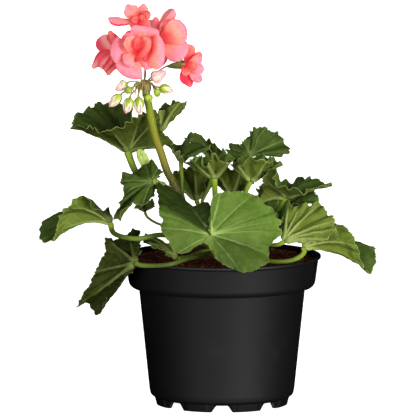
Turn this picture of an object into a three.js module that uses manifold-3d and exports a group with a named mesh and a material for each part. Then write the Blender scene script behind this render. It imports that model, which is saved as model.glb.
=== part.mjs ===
// A potted zonal pelargonium: a black nursery pot, its peat, a branched stem, leaves on their stalks
// and one umbel of salmon flowers and buds. Millimetres, +Z up, standing on the foot of the pot.
// Points are [x, y, z] from the middle of the pot's foot, with -Y towards the flower's open face.
import * as THREE from 'three';
import { mergeVertices } from 'three/addons/utils/BufferGeometryUtils.js';
import Module from 'manifold-3d';

const wasm = await Module();
wasm.setup();

// Driving dimensions of the pot
const potHeight = 98.3;
const lipRadius = 65;
const lipHeight = 1.4;
const bandTopRadius = 63.5;
const bandBottomRadius = 61.2;
const bandHeight = 20.7;
const bodyTopRadius = 54.7;
const bodyBottomRadius = 47.6;
const footTopRadius = 45.4;
const footRadius = 44.2;
const footInnerRadius = 40.4;
const footHeight = 5.6;
const shoulderHeight = 4;
const wall = 1.3;
const floorHeight = 6;
const floorThickness = 1.4;
const softEdge = 0.8;
const lipEdge = 0.3;
const notchCount = 8;
const notchTopWidth = 8;
const notchBottomWidth = 14.5;
const notchHeight = 4.5;
const notchInnerRadius = 34.4;
const notchDepth = 12;
const aroundPot = 36;

// Driving dimensions of the plant
const soilLevel = 95;
const soilMound = 1;
const stemRadius = 4.6;
const shootRadius = 3.2;
const flowerStalkRadius = 2.7;
const hubRadius = 3.4;
const pedicelRadius = 0.7;
const bladeThickness = 0.8;
const petalThickness = 0.6;
const receptacleRadius = 2.4;
const calyxRadius = 2;
const petalArch = -0.12;
const basalLobeOfLeaf = 0.34;
const basalLobeOfPetal = 0.3;
const gap = 0.3;

// Colours, shown as plain surfaces
const potColor = 0x1d1d1f;
const soilColor = 0x3a1c16;
const stemColor = 0x7d8a3c;
const leafColor = 0x4c6b35;
const stipuleColor = 0xa9b96a;
const petalColor = 0xf07b78;
const budColor = 0xdfe3a6;
const flowerStalkColor = 0x8f9136;
const potRoughness = 0.5;
const soilRoughness = 0.95;
const plantRoughness = 0.6;

const plant = new THREE.Group();
const vector = (point) => new THREE.Vector3(...point);

// Solids: turning a closed geometry into one that can be joined or cut, and back
function toSolid(geometry) {
  const bare = geometry.clone();
  bare.deleteAttribute('normal');
  bare.deleteAttribute('uv');
  const merged = mergeVertices(bare, 1e-4);
  return new wasm.Manifold(new wasm.Mesh({
    numProp: 3,
    vertProperties: new Float32Array(merged.attributes.position.array),
    triVerts: new Uint32Array(merged.index.array),
  }));
}

function toGeometry(solid) {
  const mesh = solid.getMesh();
  const geometry = new THREE.BufferGeometry();
  geometry.setAttribute('position', new THREE.BufferAttribute(mesh.vertProperties, 3));
  geometry.setIndex(new THREE.BufferAttribute(mesh.triVerts, 1));
  geometry.computeVertexNormals();
  return geometry;
}

function largest(solid) {
  return solid.decompose().reduce((best, piece) => (piece.volume() > best.volume() ? piece : best));
}

function addPiece(name, geometry, color, roughness) {
  const material = new THREE.MeshStandardMaterial({ color, roughness, metalness: 0 });
  const mesh = new THREE.Mesh(geometry, material);
  mesh.name = name;
  plant.add(mesh);
}

// A round stalk of one thickness along a smooth route
function stalk(route, radius, sides = 6, steps = 8) {
  const path = new THREE.CatmullRomCurve3(route.map(vector), false, 'catmullrom', 0.5);
  const ring = [];
  for (let side = 0; side < sides; side += 1) {
    const turn = (2 * Math.PI * side) / sides;
    ring.push(new THREE.Vector2(radius * Math.cos(turn), radius * Math.sin(turn)));
  }
  return new THREE.ExtrudeGeometry(new THREE.Shape(ring), { steps, extrudePath: path });
}

// The middle surface of a blade or petal: spokes from its base to a smooth rim, arched on the way.
// The two ends of the rim turn in towards the base, as the basal lobes of a leaf do.
// A fourth number on a rim point is that spoke's own arch, as a share of its length.
function spread(base, rimPoints, arch, basalLobe) {
  const origin = vector(base);
  const spokes = rimPoints.map(([x, y, z]) => vector([x, y, z]).sub(origin));
  const arches = rimPoints.map(([, , , own]) => own ?? arch);
  arches.unshift(arches[0]);
  arches.push(arches.at(-1));
  const up = new THREE.Vector3();
  for (let i = 0; i + 1 < spokes.length; i += 1) {
    up.add(spokes[i].clone().cross(spokes[i + 1]));
  }
  up.normalize();
  const turnedIn = (share) => spokes[0].clone().lerp(spokes.at(-1), share).multiplyScalar(basalLobe);
  const rimRoute = [turnedIn(0.2), ...spokes, turnedIn(0.8)];
  const rim = new THREE.CatmullRomCurve3(rimRoute, false, 'catmullrom', 0.5);
  const segments = arches.length - 1;
  const point = (u, v) => {
    const spoke = rim.getPoint(u);
    const place = u * segments;
    const from = Math.min(Math.floor(place), segments - 1);
    const share = THREE.MathUtils.smoothstep(place - from, 0, 1);
    const archHere = THREE.MathUtils.lerp(arches[from], arches[from + 1], share);
    const lift = 4 * archHere * spoke.length() * v * (1 - v);
    return spoke.multiplyScalar(v).addScaledVector(up, lift).add(origin);
  };
  return { point, up, segments };
}

// A closed sheet around such a surface, half its thickness to each side
function sheet(surface, thickness, columnsPerSegment, rows) {
  const columns = surface.segments * columnsPerSegment;
  const half = thickness / 2;
  const step = 1e-3;
  const positions = [];
  const triangles = [];
  const push = (point) => positions.push(point.x, point.y, point.z);
  for (const side of [1, -1]) {
    push(surface.point(0.5, 0).addScaledVector(surface.up, side * half));
    for (let column = 0; column <= columns; column += 1) {
      const u = column / columns;
      for (let row = 1; row <= rows; row += 1) {
        const v = row / rows;
        const outward = surface.point(u, v).sub(surface.point(u, v - step));
        const along = surface.point(Math.min(u + step, 1), v).sub(surface.point(Math.max(u - step, 0), v));
        const normal = outward.cross(along).normalize();
        push(surface.point(u, v).addScaledVector(normal, side * half));
      }
    }
  }
  const perSide = 1 + (columns + 1) * rows;
  const at = (side, column, row) => side * perSide + (row === 0 ? 0 : 1 + column * rows + row - 1);
  const quad = (a, b, c, d) => triangles.push(a, b, c, a, c, d);
  for (let column = 0; column < columns; column += 1) {
    triangles.push(at(0, 0, 0), at(0, column, 1), at(0, column + 1, 1));
    triangles.push(at(1, 0, 0), at(1, column + 1, 1), at(1, column, 1));
    for (let row = 1; row < rows; row += 1) {
      quad(at(0, column, row), at(0, column, row + 1), at(0, column + 1, row + 1), at(0, column + 1, row));
      quad(at(1, column, row), at(1, column + 1, row), at(1, column + 1, row + 1), at(1, column, row + 1));
    }
    quad(at(0, column, rows), at(1, column, rows), at(1, column + 1, rows), at(0, column + 1, rows));
  }
  for (let row = 0; row < rows; row += 1) {
    quad(at(0, 0, row), at(1, 0, row), at(1, 0, row + 1), at(0, 0, row + 1));
    quad(at(0, columns, row), at(0, columns, row + 1), at(1, columns, row + 1), at(1, columns, row));
  }
  const geometry = new THREE.BufferGeometry();
  geometry.setAttribute('position', new THREE.Float32BufferAttribute(positions, 3));
  geometry.setIndex(triangles);
  return geometry;
}

// A body turned about the line from one point to another, given as [distance along, radius] pairs
function turned(from, to, profile, sides) {
  const outline = profile.map(([along, radius]) => new THREE.Vector2(radius, along));
  const geometry = new THREE.LatheGeometry(outline, sides);
  const direction = vector(to).sub(vector(from)).normalize();
  const turn = new THREE.Quaternion().setFromUnitVectors(new THREE.Vector3(0, 1, 0), direction);
  geometry.applyQuaternion(turn);
  geometry.translate(...from);
  return geometry;
}

// The same turning about the upright axis, for a closed [radius, height] outline
function turnedUpright(outline) {
  const geometry = new THREE.LatheGeometry(outline.map(([r, z]) => new THREE.Vector2(r, z)), aroundPot);
  geometry.rotateX(Math.PI / 2);
  return toSolid(geometry);
}

// The pot: one moulded shell with a lip, a collar band, a tapering body and a stepped foot.
// Inside, the wall widens over a small shelf where the collar band begins.
const bandBottom = potHeight - bandHeight;
const bodyBottom = footHeight + shoulderHeight;
const shelfInner = bandBottom + 0.6;
const shelfOuter = bandBottom + 2.6;
const floorTop = floorHeight + floorThickness;
const outerWall = [
  [footInnerRadius, 0],
  [footRadius - softEdge, 0],
  [footRadius, softEdge],
  [footTopRadius, footHeight],
  [bodyBottomRadius - 0.5, footHeight + 2 * softEdge],
  [bodyBottomRadius, bodyBottom],
  [bodyTopRadius, bandBottom - softEdge],
  [bandBottomRadius - 1.8, bandBottom],
  [bandBottomRadius, bandBottom + 2],
  [bandTopRadius, potHeight - lipHeight - 0.4],
  [lipRadius, potHeight - lipHeight],
  [lipRadius, potHeight - lipEdge],
  [lipRadius - lipEdge, potHeight],
];
const innerWall = [
  [bandTopRadius - wall + lipEdge, potHeight],
  [bandTopRadius - wall, potHeight - 1],
  [bandBottomRadius - wall, shelfOuter],
  [bodyTopRadius - wall, shelfInner],
  [bodyBottomRadius - wall, bodyBottom],
  [footTopRadius - wall, floorTop],
];
const potProfile = [
  [0, floorHeight],
  [footInnerRadius, floorHeight],
  ...outerWall,
  ...innerWall,
  [0, floorTop],
];

// A drainage notch is a flared slot through the foot, and the notches stand evenly around it
const notchShape = new THREE.Shape([
  new THREE.Vector2(-notchBottomWidth / 2, -1),
  new THREE.Vector2(notchBottomWidth / 2, -1),
  new THREE.Vector2(notchTopWidth / 2, notchHeight),
  new THREE.Vector2(-notchTopWidth / 2, notchHeight),
]);
let potSolid = turnedUpright(potProfile);
for (let i = 0; i < notchCount; i += 1) {
  const notch = new THREE.ExtrudeGeometry(notchShape, { depth: notchDepth, bevelEnabled: false });
  notch.rotateX(Math.PI / 2);
  notch.translate(0, -notchInnerRadius, 0);
  notch.rotateZ((2 * Math.PI * i) / notchCount);
  potSolid = potSolid.subtract(toSolid(notch));
}
addPiece('pot', toGeometry(potSolid), potColor, potRoughness);

// The stem: a short trunk out of the peat, with a long left shoot and a short right one
const trunkRoute = [[1, 4, 72], [0, 3, 88], [-2, 2, 100], [-3, 2, 112]];
const leftShootRoute = [[-2, 2, 100], [-12, -2, 117], [-24, -6, 131], [-36, -11, 142], [-42, -15, 148]];
const rightShootRoute = [[-2, 2, 102], [6, 3, 115], [14, 5, 124]];
function stemSolid(clearance) {
  return toSolid(stalk(trunkRoute, stemRadius + clearance, 10, 8))
    .add(toSolid(stalk(leftShootRoute, shootRadius + clearance, 8, 10)))
    .add(toSolid(stalk(rightShootRoute, shootRadius + clearance, 8, 5)));
}
const stemWithGap = stemSolid(gap);
addPiece('stem', toGeometry(stemSolid(0)), stemColor, plantRoughness);

// The peat fills the pot to just under its lip, with a gap to the wall and around the buried stem
const soilProfile = [
  [0, floorTop + gap],
  [footTopRadius - wall - gap, floorTop + gap],
  [bodyBottomRadius - wall - gap, bodyBottom],
  [bodyTopRadius - wall - gap, shelfInner],
  [bandBottomRadius - wall - 2 * gap, shelfOuter + gap],
  [bandTopRadius - wall - 3 * gap, soilLevel - softEdge],
  [40, soilLevel + 0.6 * soilMound],
  [20, soilLevel + soilMound],
  [0, soilLevel + 0.8 * soilMound],
];
const soil = turnedUpright(soilProfile).subtract(stemWithGap);
addPiece('soil', toGeometry(soil), soilColor, soilRoughness);

// The leaves: each has its stalk's top, the rim of its blade from one basal lobe round to the other,
// seen anticlockwise from the upper side, and the route of its stalk down to the stem
const leaves = [
  {
    name: 'leaf_upper_left',
    base: [-62, 6, 166],
    rim: [
      [-60, 44, 190], [-77, 42, 194], [-89, 32, 192], [-100, 4, 186], [-90, -20, 184],
      [-75, -26, 185], [-63, -24, 187], [-56, -15, 192], [-50, -3, 192], [-43, 4, 193], [-38, 7, 180],
      [-32, 9, 172], [-39, 9, 170],
    ],
    arch: 0.05,
    stalk: [[-59, 2, 158], [-56, -3, 153], [-49, -5, 147.5], [-36, -10, 142]],
    stalkRadius: 2.1,
  },
  {
    name: 'leaf_upper_back',
    base: [-40, 17, 178],
    rim: [
      [-22, 22, 195], [-30, 32, 195], [-39, 36, 193], [-43, 26, 188],
      [-39, 18, 191], [-31, 14, 196], [-23, 16, 196],
    ],
    arch: 0.06,
    stalk: [[-40.5, 14, 169], [-37, 8, 157], [-33, 0, 146], [-26, -5, 134]],
    stalkRadius: 1.6,
  },
  {
    name: 'leaf_mid_left',
    base: [-45, -26, 149],
    rim: [
      [-39, -16, 158], [-47, -8, 161], [-54, -8, 157], [-60, -12, 153], [-66, -16, 152], [-66, -26, 147],
      [-65, -34, 141], [-69, -38, 135], [-71, -36, 126], [-65, -42, 132], [-57, -44, 136], [-47, -40, 139],
    ],
    arch: 0.05,
    stalk: [[-44, -21, 148], [-41, -15, 146]],
    stalkRadius: 1.8,
  },
  {
    name: 'leaf_far_left',
    base: [-73, -12, 121],
    rim: [
      [-76, 12, 124], [-90, 22, 127], [-104, 20, 122], [-110, 8, 120], [-117, 4, 121], [-122, 0, 113],
      [-118, -6, 105], [-112, -14, 107], [-108, -24, 124], [-98, -30, 138], [-88, -32, 141], [-78, -26, 132],
    ],
    arch: 0.09,
    stalk: [
      [-72, -16, 116.5], [-69.5, -28, 115.6], [-63.6, -39, 115.1], [-53.8, -44, 114.9], [-39, -38, 116.5],
      [-18, -17, 110], [-1, 2, 101],
    ],
    stalkRadius: 1.85,
  },
  {
    name: 'leaf_small_left',
    base: [-51, 6, 127],
    rim: [[-45, 4, 131], [-45, 14, 132], [-50, 18, 131], [-56, 10, 131], [-56, 0, 130], [-50, -4, 131]],
    arch: 0.05,
    stalk: [[-48.5, 5, 122], [-39, 6, 117], [-20, 8, 114], [-2, 4, 110]],
    stalkRadius: 0.9,
  },
  {
    name: 'leaf_lower_left',
    base: [-57, -52, 100],
    rim: [
      [-61, -44, 91], [-73, -36, 86.5, 0.12], [-76, -32, 77.2, 0.2], [-78, -30, 68.9, 0.2],
      [-82, -28, 62.4, 0.14], [-89, -32, 70.1], [-96, -38, 68.6], [-87, -40, 83.9], [-83, -42, 93.4],
      [-77, -42, 106.5], [-76, -34, 114.5], [-66, -26, 113], [-54, -22, 117.5],
    ],
    arch: 0.04,
    stalk: [
      [-52, -54, 98.7], [-42, -56, 98.8], [-34, -57, 99.8], [-29, -53, 100.7],
      [-21, -40, 101.5], [-10, -22, 101], [-6, -8, 99.6], [-2, 2, 98.5],
    ],
    stalkRadius: 1.6,
  },
  {
    name: 'leaf_front',
    base: [-8, -58, 119],
    rim: [
      [-9, -46, 139], [-20, -42, 137], [-29, -34, 145], [-42, -30, 148], [-39, -60, 136], [-39, -66, 126],
      [-33, -68, 110], [-22, -66, 109], [-12, -62, 114], [-3, -64, 103], [4, -67, 98.5], [13, -69, 96.5],
      [23, -67, 98.5], [29, -61, 102.5], [30, -54, 109], [38, -50, 117], [39, -49, 126], [34, -48, 134],
      [24, -46, 143], [9, -46, 147], [-1, -50, 146], [-7, -56, 142],
    ],
    arch: 0.03,
    stalk: [[-6, -50, 113.5], [-4, -34, 109.5], [-3, -14, 107], [-2, 2, 107]],
    stalkRadius: 1.8,
  },
  {
    name: 'leaf_centre',
    base: [-5, -12, 151],
    rim: [
      [7, -6, 162], [4, 4, 165], [-6, 5, 165], [-15, -2, 164], [-25, -12, 161],
      [-15, -26, 166], [-10, -27, 162], [-6, -32, 169], [0, -28, 163], [7, -26, 166],
    ],
    arch: -0.02,
    stalk: [[-4.6, -10, 140], [-4, -5, 126], [-2, 0, 112]],
    stalkRadius: 1.9,
  },
  {
    name: 'leaf_back_left',
    base: [-27, 4, 160],
    rim: [
      [-7, 12, 167], [-10, 20, 168], [-21, 30, 169], [-30, 32, 168],
      [-38, 22, 170], [-33, 8, 168], [-24, -2, 162],
    ],
    arch: 0.05,
    stalk: [[-26.5, 3, 150], [-26, 3, 138], [-22, 2, 127], [-12, 1, 114], [-3, 2, 104]],
    stalkRadius: 1.4,
  },
  {
    name: 'leaf_back_centre',
    base: [-4, 26, 155],
    rim: [
      [3, 30, 163], [-5, 42, 166], [-13, 52, 170], [-19, 50, 172],
      [-25, 40, 171.5], [-17, 30, 170], [-7, 26, 165],
    ],
    arch: 0.05,
    stalk: [[-6, 20, 149], [-9, 14, 140], [-13, 10, 131], [-9, 8, 120], [-3, 3, 109]],
    stalkRadius: 1.3,
  },
  {
    name: 'leaf_upper_right',
    base: [18, 28, 160],
    rim: [
      [45, 38, 162.5], [43, 42, 167], [38, 42, 173], [32, 38, 176], [26, 28, 180], [21, 28, 179],
      [16, 30, 173], [11, 32, 167], [9, 38, 167], [5, 38, 166], [3, 33, 162], [7, 24, 158],
    ],
    arch: 0.03,
    stalk: [[21, 26, 150], [11, 15, 130], [-2, 4, 108]],
    stalkRadius: 1.6,
  },
  {
    name: 'leaf_right_small',
    base: [19, -14, 149],
    rim: [
      [39, -8, 159], [30, 10, 163], [17, 10, 163], [8, -6, 161],
      [12, -22, 161], [18, -32, 166], [26, -34, 166], [34, -28, 163],
    ],
    arch: -0.02,
    stalk: [[15.7, -12, 141.7], [12, -8, 130], [4, -1, 116], [-2, 1, 107]],
    stalkRadius: 1.5,
  },
  {
    name: 'leaf_right',
    base: [42, -10, 138],
    rim: [
      [72, -4, 145], [64, 14, 145], [53, 22, 147], [43, 22, 144], [30, 16, 144], [22, 5, 139],
      [27, -14, 152], [32, -22, 157], [37, -28, 149], [45, -32, 145], [56, -26, 145],
    ],
    arch: 0.02,
    stalk: [[38, -8, 131.6], [35, -6, 127], [24, -2, 117], [8, 1, 108], [-2, 2, 104]],
    stalkRadius: 1.5,
  },
  {
    name: 'leaf_right_back',
    base: [41, 16, 127],
    rim: [[50, -2, 132], [61, 4, 132], [63, 16, 137], [55, 30, 139], [45, 36, 139], [34, 34, 135]],
    arch: 0.05,
    stalk: [[32, 14, 118], [14, 9, 109], [-1, 3, 103]],
    stalkRadius: 1.4,
  },
  {
    name: 'leaf_right_bright',
    base: [41, -42, 113],
    rim: [
      [64, -52, 114.5], [74, -54, 120], [73, -50, 124], [72, -44, 131], [67, -36, 135],
      [60, -31, 137], [49, -28, 134], [42, -31, 133], [39, -36, 121],
    ],
    arch: 0.03,
    stalk: [[36, -41, 110.5], [28, -34, 109.5], [14, -16, 107.5], [-1, 1, 104]],
    stalkRadius: 1.4,
  },
  {
    name: 'leaf_far_right',
    base: [53, -34, 108],
    rim: [
      [60, -38, 117], [68, -39, 121], [77, -43, 124], [84, -47, 120], [89, -48, 109], [93, -46, 95],
      [98, -40, 92], [102, -34, 100], [99, -28, 107], [93, -22, 108], [83, -14, 112], [71, -10, 116],
      [60, -18, 113],
    ],
    arch: 0.1,
    stalk: [
      [53.5, -33, 104.5], [50, -33, 101], [42, -34, 98.5], [29, -31, 98.4], [14, -17, 99.5], [-1, 1, 102],
    ],
    stalkRadius: 1.65,
  },
  {
    name: 'leaf_low_back_left',
    base: [-17, 28, 131],
    rim: [
      [-7, 26, 142], [-8, 44, 147], [-20, 54, 148], [-31, 48, 147],
      [-35, 34, 140], [-29, 16, 152], [-18, 12, 155], [-9, 16, 151],
    ],
    arch: 0.03,
    stalk: [[-12, 20, 120], [-6, 10, 110], [-1, 3, 103]],
    stalkRadius: 1.5,
  },
  {
    name: 'leaf_low_back_right',
    base: [7, 30, 133],
    rim: [
      [20, 36, 142], [14, 56, 146], [3, 60, 148], [-7, 46, 144],
      [-1, 22, 152], [8, 18, 153], [16, 22, 149],
    ],
    arch: 0.03,
    stalk: [[6, 20, 120], [2, 10, 110], [-1, 3, 103]],
    stalkRadius: 1.5,
  },
  {
    name: 'leaf_right_low',
    base: [37, -2, 114],
    rim: [[46, -2, 121], [46, 2, 131], [41, 5, 136], [33, 5, 136], [29.5, 4, 128], [29.5, 0, 119]],
    arch: 0.05,
    stalk: [[27, -1, 108], [12, 2, 104.5], [-1, 2, 101]],
    stalkRadius: 0.9,
  },
  {
    name: 'leaf_young',
    base: [-51, 1, 158],
    rim: [[-49, 3, 160], [-49, 3, 165], [-52, 3, 168.5], [-55, 2, 166], [-54, 1, 161]],
    arch: 0.08,
    stalk: [[-49, 2, 152], [-41, 0, 146], [-32, -7, 139]],
    stalkRadius: 1.1,
  },
  {
    name: 'leaf_soil_left',
    base: [-29, -26, 99.5],
    rim: [
      [-35, -32, 102], [-41, -32, 107], [-47, -28, 109], [-52, -20, 111],
      [-49, -18, 113], [-41, -20, 112], [-34, -22, 108],
    ],
    arch: -0.04,
    stalk: [[-22, -17, 99.2], [-13, -5, 101], [-1, 4, 103]],
    stalkRadius: 1.3,
  },
];
for (const leaf of leaves) {
  const columnsPerSegment = leaf.rim.length > 9 ? 1 : 2;
  const surface = spread(leaf.base, leaf.rim, leaf.arch, basalLobeOfLeaf);
  const blade = sheet(surface, bladeThickness, columnsPerSegment, 2);
  const leafStalk = stalk([leaf.base, ...leaf.stalk], leaf.stalkRadius);
  const whole = toSolid(blade).add(toSolid(leafStalk)).subtract(stemWithGap);
  addPiece(leaf.name, toGeometry(largest(whole)), leafColor, plantRoughness);
}

// The stipule: a pale strap beside the youngest leaf, at the end of the left shoot.
// It runs along a route from its narrow foot, is broadest past the middle and has a blunt tip.
const stipuleRoute = [[-48, -6.5, 152], [-51, -5.8, 157.5], [-54, -5, 163], [-57, -4, 168.5]];
const stipuleAcross = vector([0.88, -0.1, 0.46]).normalize();
const stipuleWidth = 5.6;
const stipuleTipWidth = 2.4;
const stipuleLine = new THREE.CatmullRomCurve3(stipuleRoute.map(vector), false, 'catmullrom', 0.5);
const stipuleSurface = {
  up: stipuleLine.getTangent(0).cross(stipuleAcross).normalize(),
  segments: 3,
  point: (u, v) => {
    const widthHere = stipuleWidth * Math.sin(Math.PI * v) + stipuleTipWidth * v;
    return stipuleLine.getPoint(v).addScaledVector(stipuleAcross, (u - 0.5) * widthHere);
  },
};
const stipuleFoot = stalk([stipuleRoute[0], [-46, -11, 151], [-42, -14, 148]], 0.9);
const stipule = toSolid(sheet(stipuleSurface, bladeThickness, 1, 5)).add(toSolid(stipuleFoot));
addPiece('stipule', toGeometry(largest(stipule.subtract(stemWithGap))), stipuleColor, plantRoughness);

// The umbel: a hub on the flower stalk's end, and one thin pedicel to each flower and bud
const hub = [-51, -8, 212];
const flowerStalkRoute = [
  hub, [-48.5, -8, 201], [-47, -8, 193], [-44, -8, 178.5], [-40, -9, 167],
  [-36, -10, 155], [-32.5, -11, 148.5], [-30, -11, 143], [-27, -8, 134],
];

// Flowers: the throat, the end of the calyx on its pedicel, and each petal's tip and width
const flowers = [
  {
    name: 'flower_front',
    throat: [-54, -29, 235],
    calyx: [-54, -20, 231],
    petals: [
      { tip: [-73, -30, 237], width: 17 },
      { tip: [-62, -32, 219], width: 19 },
      { tip: [-43, -30, 221], width: 17 },
      { tip: [-37, -28, 239], width: 17 },
      { tip: [-47, -26, 254], width: 19 },
      { tip: [-61, -35, 247], width: 12 },
      { tip: [-49, -40, 246], width: 9 },
    ],
    route: [[-53, -14, 222]],
  },
  {
    name: 'flower_right_back',
    throat: [-43, -14, 242],
    calyx: [-47, -9, 237],
    petals: [
      { tip: [-43, -6, 256], width: 6 },
      { tip: [-31, -8, 261], width: 12 },
      { tip: [-24, -13, 250], width: 15 },
      { tip: [-24, -19, 232], width: 16 },
    ],
    route: [[-50, -6, 226]],
  },
  {
    name: 'flower_top_left',
    throat: [-54, -8, 254],
    calyx: [-50, -5, 248],
    petals: [
      { tip: [-75, -12, 255], width: 6 },
      { tip: [-62, -6, 264], width: 11 },
      { tip: [-51, -4, 265], width: 7 },
      { tip: [-49, -15, 250], width: 7 },
    ],
    route: [[-49, -3, 232]],
  },
  {
    name: 'flower_left',
    throat: [-68, -6, 231],
    calyx: [-61, -10, 229],
    petals: [
      { tip: [-81, 0, 243], width: 13 },
      { tip: [-72, 4, 246], width: 11 },
      { tip: [-86, -3, 225], width: 12 },
      { tip: [-78, -4, 218], width: 13 },
    ],
    route: [[-56, -9, 221]],
  },
  {
    name: 'flower_right',
    throat: [-24, -9, 225],
    calyx: [-35, -2, 223],
    petals: [
      { tip: [-18, -8, 238], width: 9 },
      { tip: [-12.5, -10, 229], width: 8 },
      { tip: [-14, -12, 216], width: 9 },
      { tip: [-21.5, -3, 210], width: 9 },
    ],
    route: [[-43, -4, 219]],
  },
  {
    name: 'flower_back',
    throat: [-48, 14, 236],
    calyx: [-49, 6, 233],
    petals: [
      { tip: [-65, 14, 240], width: 14 },
      { tip: [-58, 17, 221], width: 14 },
      { tip: [-39, 17, 221], width: 14 },
      { tip: [-32, 14, 238], width: 14 },
      { tip: [-48, 12, 252], width: 15 },
    ],
    route: [[-50, 0, 222]],
  },
];

// A petal is narrow at its throat and broadest near the tip, and lies across the flower's own axis
function petal(throat, axis, tip, width) {
  const length = vector(tip).sub(throat);
  const across = axis.clone().cross(length).normalize().multiplyScalar(width / 2);
  const outline = [[0.42, -0.62], [0.78, -1], [0.99, -0.5], [1, 0.5], [0.78, 1], [0.42, 0.62]];
  const rim = outline.map(([along, aside]) => throat.clone()
    .addScaledVector(length, along).addScaledVector(across, aside).toArray());
  return sheet(spread(throat.toArray(), rim, petalArch, basalLobeOfPetal), petalThickness, 1, 2);
}

for (const flower of flowers) {
  const throat = vector(flower.throat);
  const axis = throat.clone().sub(vector(flower.calyx));
  const depth = axis.length();
  axis.normalize();
  const calyxProfile = [[0, 0], [0, 0.45], [0.6, 1], [1, 0.7], [1, 0]]
    .map(([along, share]) => [along * depth, share * calyxRadius]);
  let solid = toSolid(turned(flower.calyx, flower.throat, calyxProfile, 8));
  const receptacle = new THREE.SphereGeometry(receptacleRadius, 8, 6);
  receptacle.translate(...flower.throat);
  solid = solid.add(toSolid(receptacle));
  for (const { tip, width } of flower.petals) {
    solid = solid.add(toSolid(petal(throat, axis, tip, width)));
  }
  addPiece(flower.name, toGeometry(largest(solid)), petalColor, plantRoughness);
}

// Buds: the end on the pedicel, the pointed tip and the greatest radius
const buds = [
  { name: 'bud_upper_right', base: [-45, -16, 215], tip: [-36, -20, 221], radius: 3.6 },
  { name: 'bud_left', base: [-62, -12, 213], tip: [-70, -14, 208.5], radius: 3.4 },
  { name: 'bud_lower_left', base: [-66, -16, 206], tip: [-74, -18, 198], radius: 2.9 },
  { name: 'bud_hanging_left', base: [-60, -20, 204.5], tip: [-63, -22, 194], radius: 3 },
  { name: 'bud_hanging_right', base: [-54.5, -20, 205], tip: [-54, -22, 193.5], radius: 3 },
  { name: 'bud_right', base: [-41, -14, 210.5], tip: [-31.5, -15, 208], radius: 2.9 },
  { name: 'bud_green_left', base: [-59, -17, 210.5], tip: [-63.5, -19, 207.5], radius: 2.1 },
  { name: 'bud_green_middle', base: [-48.5, -16, 206.5], tip: [-47.5, -17, 200], radius: 2.5 },
  { name: 'bud_green_right', base: [-43, -15, 207.5], tip: [-41, -18, 202.5], radius: 2.1 },
];
for (const bud of buds) {
  const length = vector(bud.tip).distanceTo(vector(bud.base));
  const profile = [[0, 0], [0, 0.5], [0.22, 0.75], [0.45, 1], [0.75, 0.72], [1, 0]]
    .map(([along, share]) => [along * length, share * bud.radius]);
  const solid = toSolid(turned(bud.base, bud.tip, profile, 8));
  addPiece(bud.name, toGeometry(solid), budColor, plantRoughness);
}

// Each pedicel meets its flower or bud end to end, and stops a gap short of it
function pedicel(route, end, tip) {
  const back = vector(end).sub(vector(tip)).normalize();
  const stop = vector(end).addScaledVector(back, gap);
  const approach = vector(end).addScaledVector(back, gap + 2);
  return stalk([...route, approach.toArray(), stop.toArray()], pedicelRadius, 5, 4);
}
let flowerStalk = toSolid(stalk(flowerStalkRoute, flowerStalkRadius, 8, 14));
const hubBall = new THREE.SphereGeometry(hubRadius, 8, 5);
hubBall.translate(...hub);
flowerStalk = flowerStalk.add(toSolid(hubBall));
for (const flower of flowers) {
  const branch = pedicel([hub, ...flower.route], flower.calyx, flower.throat);
  flowerStalk = flowerStalk.add(toSolid(branch));
}
for (const bud of buds) {
  flowerStalk = flowerStalk.add(toSolid(pedicel([hub], bud.base, bud.tip)));
}
const flowerStalkSolid = largest(flowerStalk.subtract(stemWithGap));
addPiece('flower_stalk', toGeometry(flowerStalkSolid), flowerStalkColor, plantRoughness);

// The origin lies under the middle of the whole, on the surface that the pot stands on
const box = new THREE.Box3().setFromObject(plant);
plant.position.set(-(box.min.x + box.max.x) / 2, -(box.min.y + box.max.y) / 2, -box.min.z);

export default plant;
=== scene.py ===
import math
import random

import bmesh
import bpy
import numpy as np
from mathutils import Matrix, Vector


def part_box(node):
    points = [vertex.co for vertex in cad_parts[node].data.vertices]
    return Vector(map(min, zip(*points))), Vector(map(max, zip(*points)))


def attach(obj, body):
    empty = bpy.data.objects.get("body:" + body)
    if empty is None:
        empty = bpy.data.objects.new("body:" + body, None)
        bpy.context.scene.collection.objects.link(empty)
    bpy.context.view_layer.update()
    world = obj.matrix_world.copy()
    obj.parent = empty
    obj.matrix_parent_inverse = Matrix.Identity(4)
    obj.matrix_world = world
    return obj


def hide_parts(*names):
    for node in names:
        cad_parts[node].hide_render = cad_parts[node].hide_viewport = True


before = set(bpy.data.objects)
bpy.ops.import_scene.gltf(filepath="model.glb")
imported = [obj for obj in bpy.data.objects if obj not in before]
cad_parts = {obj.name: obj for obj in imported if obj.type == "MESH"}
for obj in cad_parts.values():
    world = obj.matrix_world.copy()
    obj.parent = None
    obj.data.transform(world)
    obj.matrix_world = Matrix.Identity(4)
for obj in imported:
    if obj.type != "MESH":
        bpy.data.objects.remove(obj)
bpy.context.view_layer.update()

# The pot. A thin nursery pot injection-moulded in black polypropylene: a rolled lip, a collar band, a
# tapering body, and a stepped foot whose ring is cut by eight flared drainage notches. All places are in
# millimetres from its axis, where the foot meets the ground.
pot_low, pot_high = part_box("pot")
axis_x = (pot_low[0] + pot_high[0]) * 500
axis_y = (pot_low[1] + pot_high[1]) * 500
pot_height = pot_high[2] * 1000
lip_radius = (pot_high[0] - pot_low[0]) * 500
band_bottom = pot_height - 20.7
foot_height = 6
foot_inside = 40
foot_outside = 43
notch_radius = 44
notch_count = 8
notch_height = 4.5
notch_top = 4.0
notch_foot = 7.25
recess_half_width = 10.5
recess_slope = 1.5
recess_depth = 1.1
columns_around = 384
full_turn = 2 * math.pi


def spoke(turn, reach=1.0, height=0.0):
    """A place at a turn round an axis, so far from it and so high."""
    return np.array([reach * math.cos(turn), reach * math.sin(turn), height])


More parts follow.
